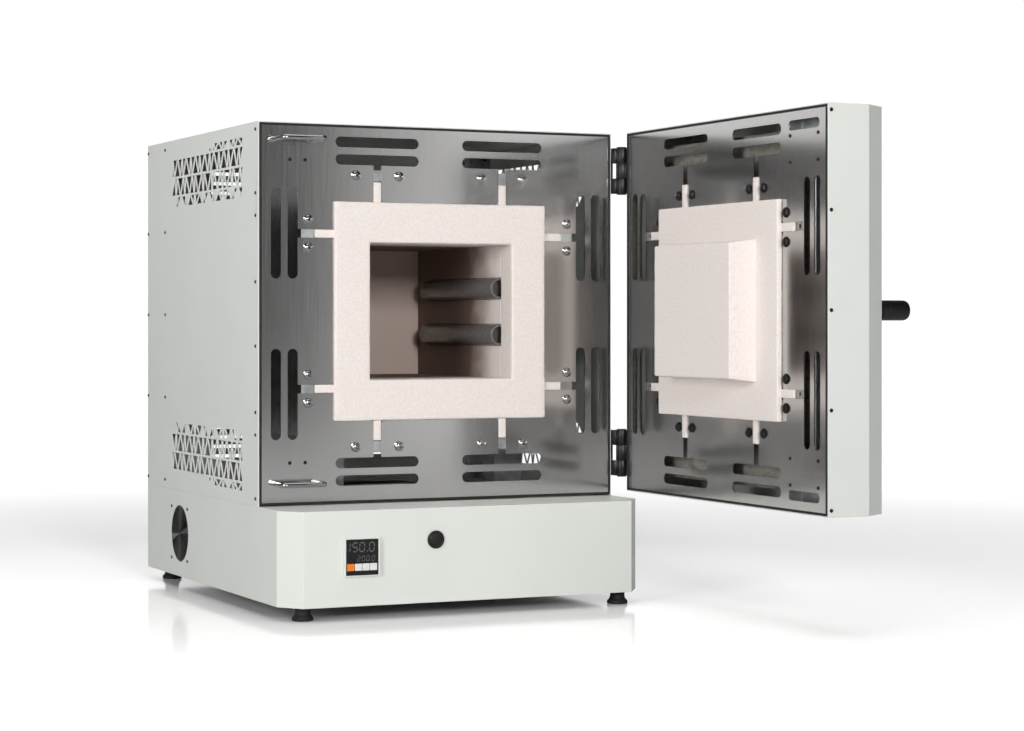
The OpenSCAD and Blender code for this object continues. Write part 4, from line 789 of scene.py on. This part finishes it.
def studio_floor():
    """Pale floor with soft shadows and a faint reflection, white in the distance."""
    bm = bmesh.new()
    bmesh.ops.create_grid(bm, x_segments=1, y_segments=1, size=40)
    mesh = bpy.data.meshes.new("studio_floor")
    bm.to_mesh(mesh)
    bm.free()
    material = bpy.data.materials.new("studio_floor")
    material.use_nodes = True
    tree = material.node_tree
    tree.nodes.clear()
    path = add(tree, "ShaderNodeLightPath")
    place = add(tree, "ShaderNodeTexCoord").outputs["Object"]
    far = add(tree, "ShaderNodeVectorMath", {0: place}, operation="LENGTH").outputs["Value"]
    fade = remap(tree, far, 0.9, 2.2)
    shine = remap(tree, far, 0.3, 0.85, 0.55, 0.08)
    pale = add(tree, "ShaderNodeBsdfDiffuse", {"Color": grey(1.65)}).outputs[0]
    gloss = add(tree, "ShaderNodeBsdfGlossy", {"Color": WHITE, "Roughness": 0.1}).outputs[0]
    near = add(tree, "ShaderNodeMixShader", {0: shine, 1: pale, 2: gloss}).outputs[0]
    white = add(tree, "ShaderNodeEmission", {"Color": WHITE, "Strength": SEEN_WHITE}).outputs[0]
    seen = add(tree, "ShaderNodeMixShader", {0: fade, 1: near, 2: white}).outputs[0]
    dim = add(tree, "ShaderNodeBsdfDiffuse", {"Color": grey(0.7)}).outputs[0]
    both = add(tree, "ShaderNodeMixShader", {0: path.outputs["Is Camera Ray"], 1: dim, 2: seen})
    add(tree, "ShaderNodeOutputMaterial", {0: both.outputs[0]})
    mesh.materials.append(material)
    item = bpy.data.objects.new("studio_floor", mesh)
    scene.collection.objects.link(item)


def studio_world():
    """White to the eye; as light, white at the rear and falling from left to right in front."""
    world = bpy.data.worlds.new("studio")
    scene.world = world
    world.use_nodes = True
    tree = world.node_tree
    tree.nodes.clear()
    path = add(tree, "ShaderNodeLightPath")
    way = add(tree, "ShaderNodeTexCoord").outputs["Generated"]
    parts = add(tree, "ShaderNodeSeparateXYZ", {0: way})
    side = remap(tree, parts.outputs["X"], -0.6, 0.55, 0.16, 0.04)
    rear = remap(tree, parts.outputs["Y"], 0.6, 0.85)
    level = add(tree, "ShaderNodeMix", {"Factor": rear, "A": side, "B": 1.0})
    seen = add(tree, "ShaderNodeMix", {
        "Factor": path.outputs["Is Camera Ray"], "A": level.outputs[0], "B": SEEN_WHITE})
    back = add(tree, "ShaderNodeBackground", {"Color": WHITE, "Strength": seen.outputs[0]})
    add(tree, "ShaderNodeOutputWorld", {0: back.outputs[0]})


def softbox(name, azimuth, elevation, distance, width, height, radiance):
    """Area lamp that faces the front plate's middle; azimuth is to the right of the front."""
    lamp = bpy.data.lights.new(name, "AREA")
    lamp.shape = "RECTANGLE"
    lamp.size, lamp.size_y = width, height
    lamp.energy = radiance * math.pi * width * height
    item = bpy.data.objects.new(name, lamp)
    scene.collection.objects.link(item)
    a, e = math.radians(azimuth), math.radians(elevation)
    out = Vector((math.sin(a) * math.cos(e), -math.cos(a) * math.cos(e), math.sin(e)))
    item.location = Vector((0, -0.1, 0.38)) + out * distance
    item.rotation_euler = (-out).to_track_quat("-Z", "Y").to_euler()


studio_floor()
studio_world()
# Azimuth and elevation in degrees, distance, width and height in metres, radiance
softbox("key_softbox", -57, 8, 3.2, 1.0, 1.3, 10.8)
softbox("camera_fill", -8, 12, 4.0, 0.75, 0.65, 40)
softbox("plate_strip_dim", 21, 4, 3.6, 0.35, 3.2, 0.55)
softbox("plate_strip", 27, 4, 3.6, 0.45, 3.2, 1.0)
softbox("top_fill", 0, 82, 3.5, 3.0, 3.0, 1.5)
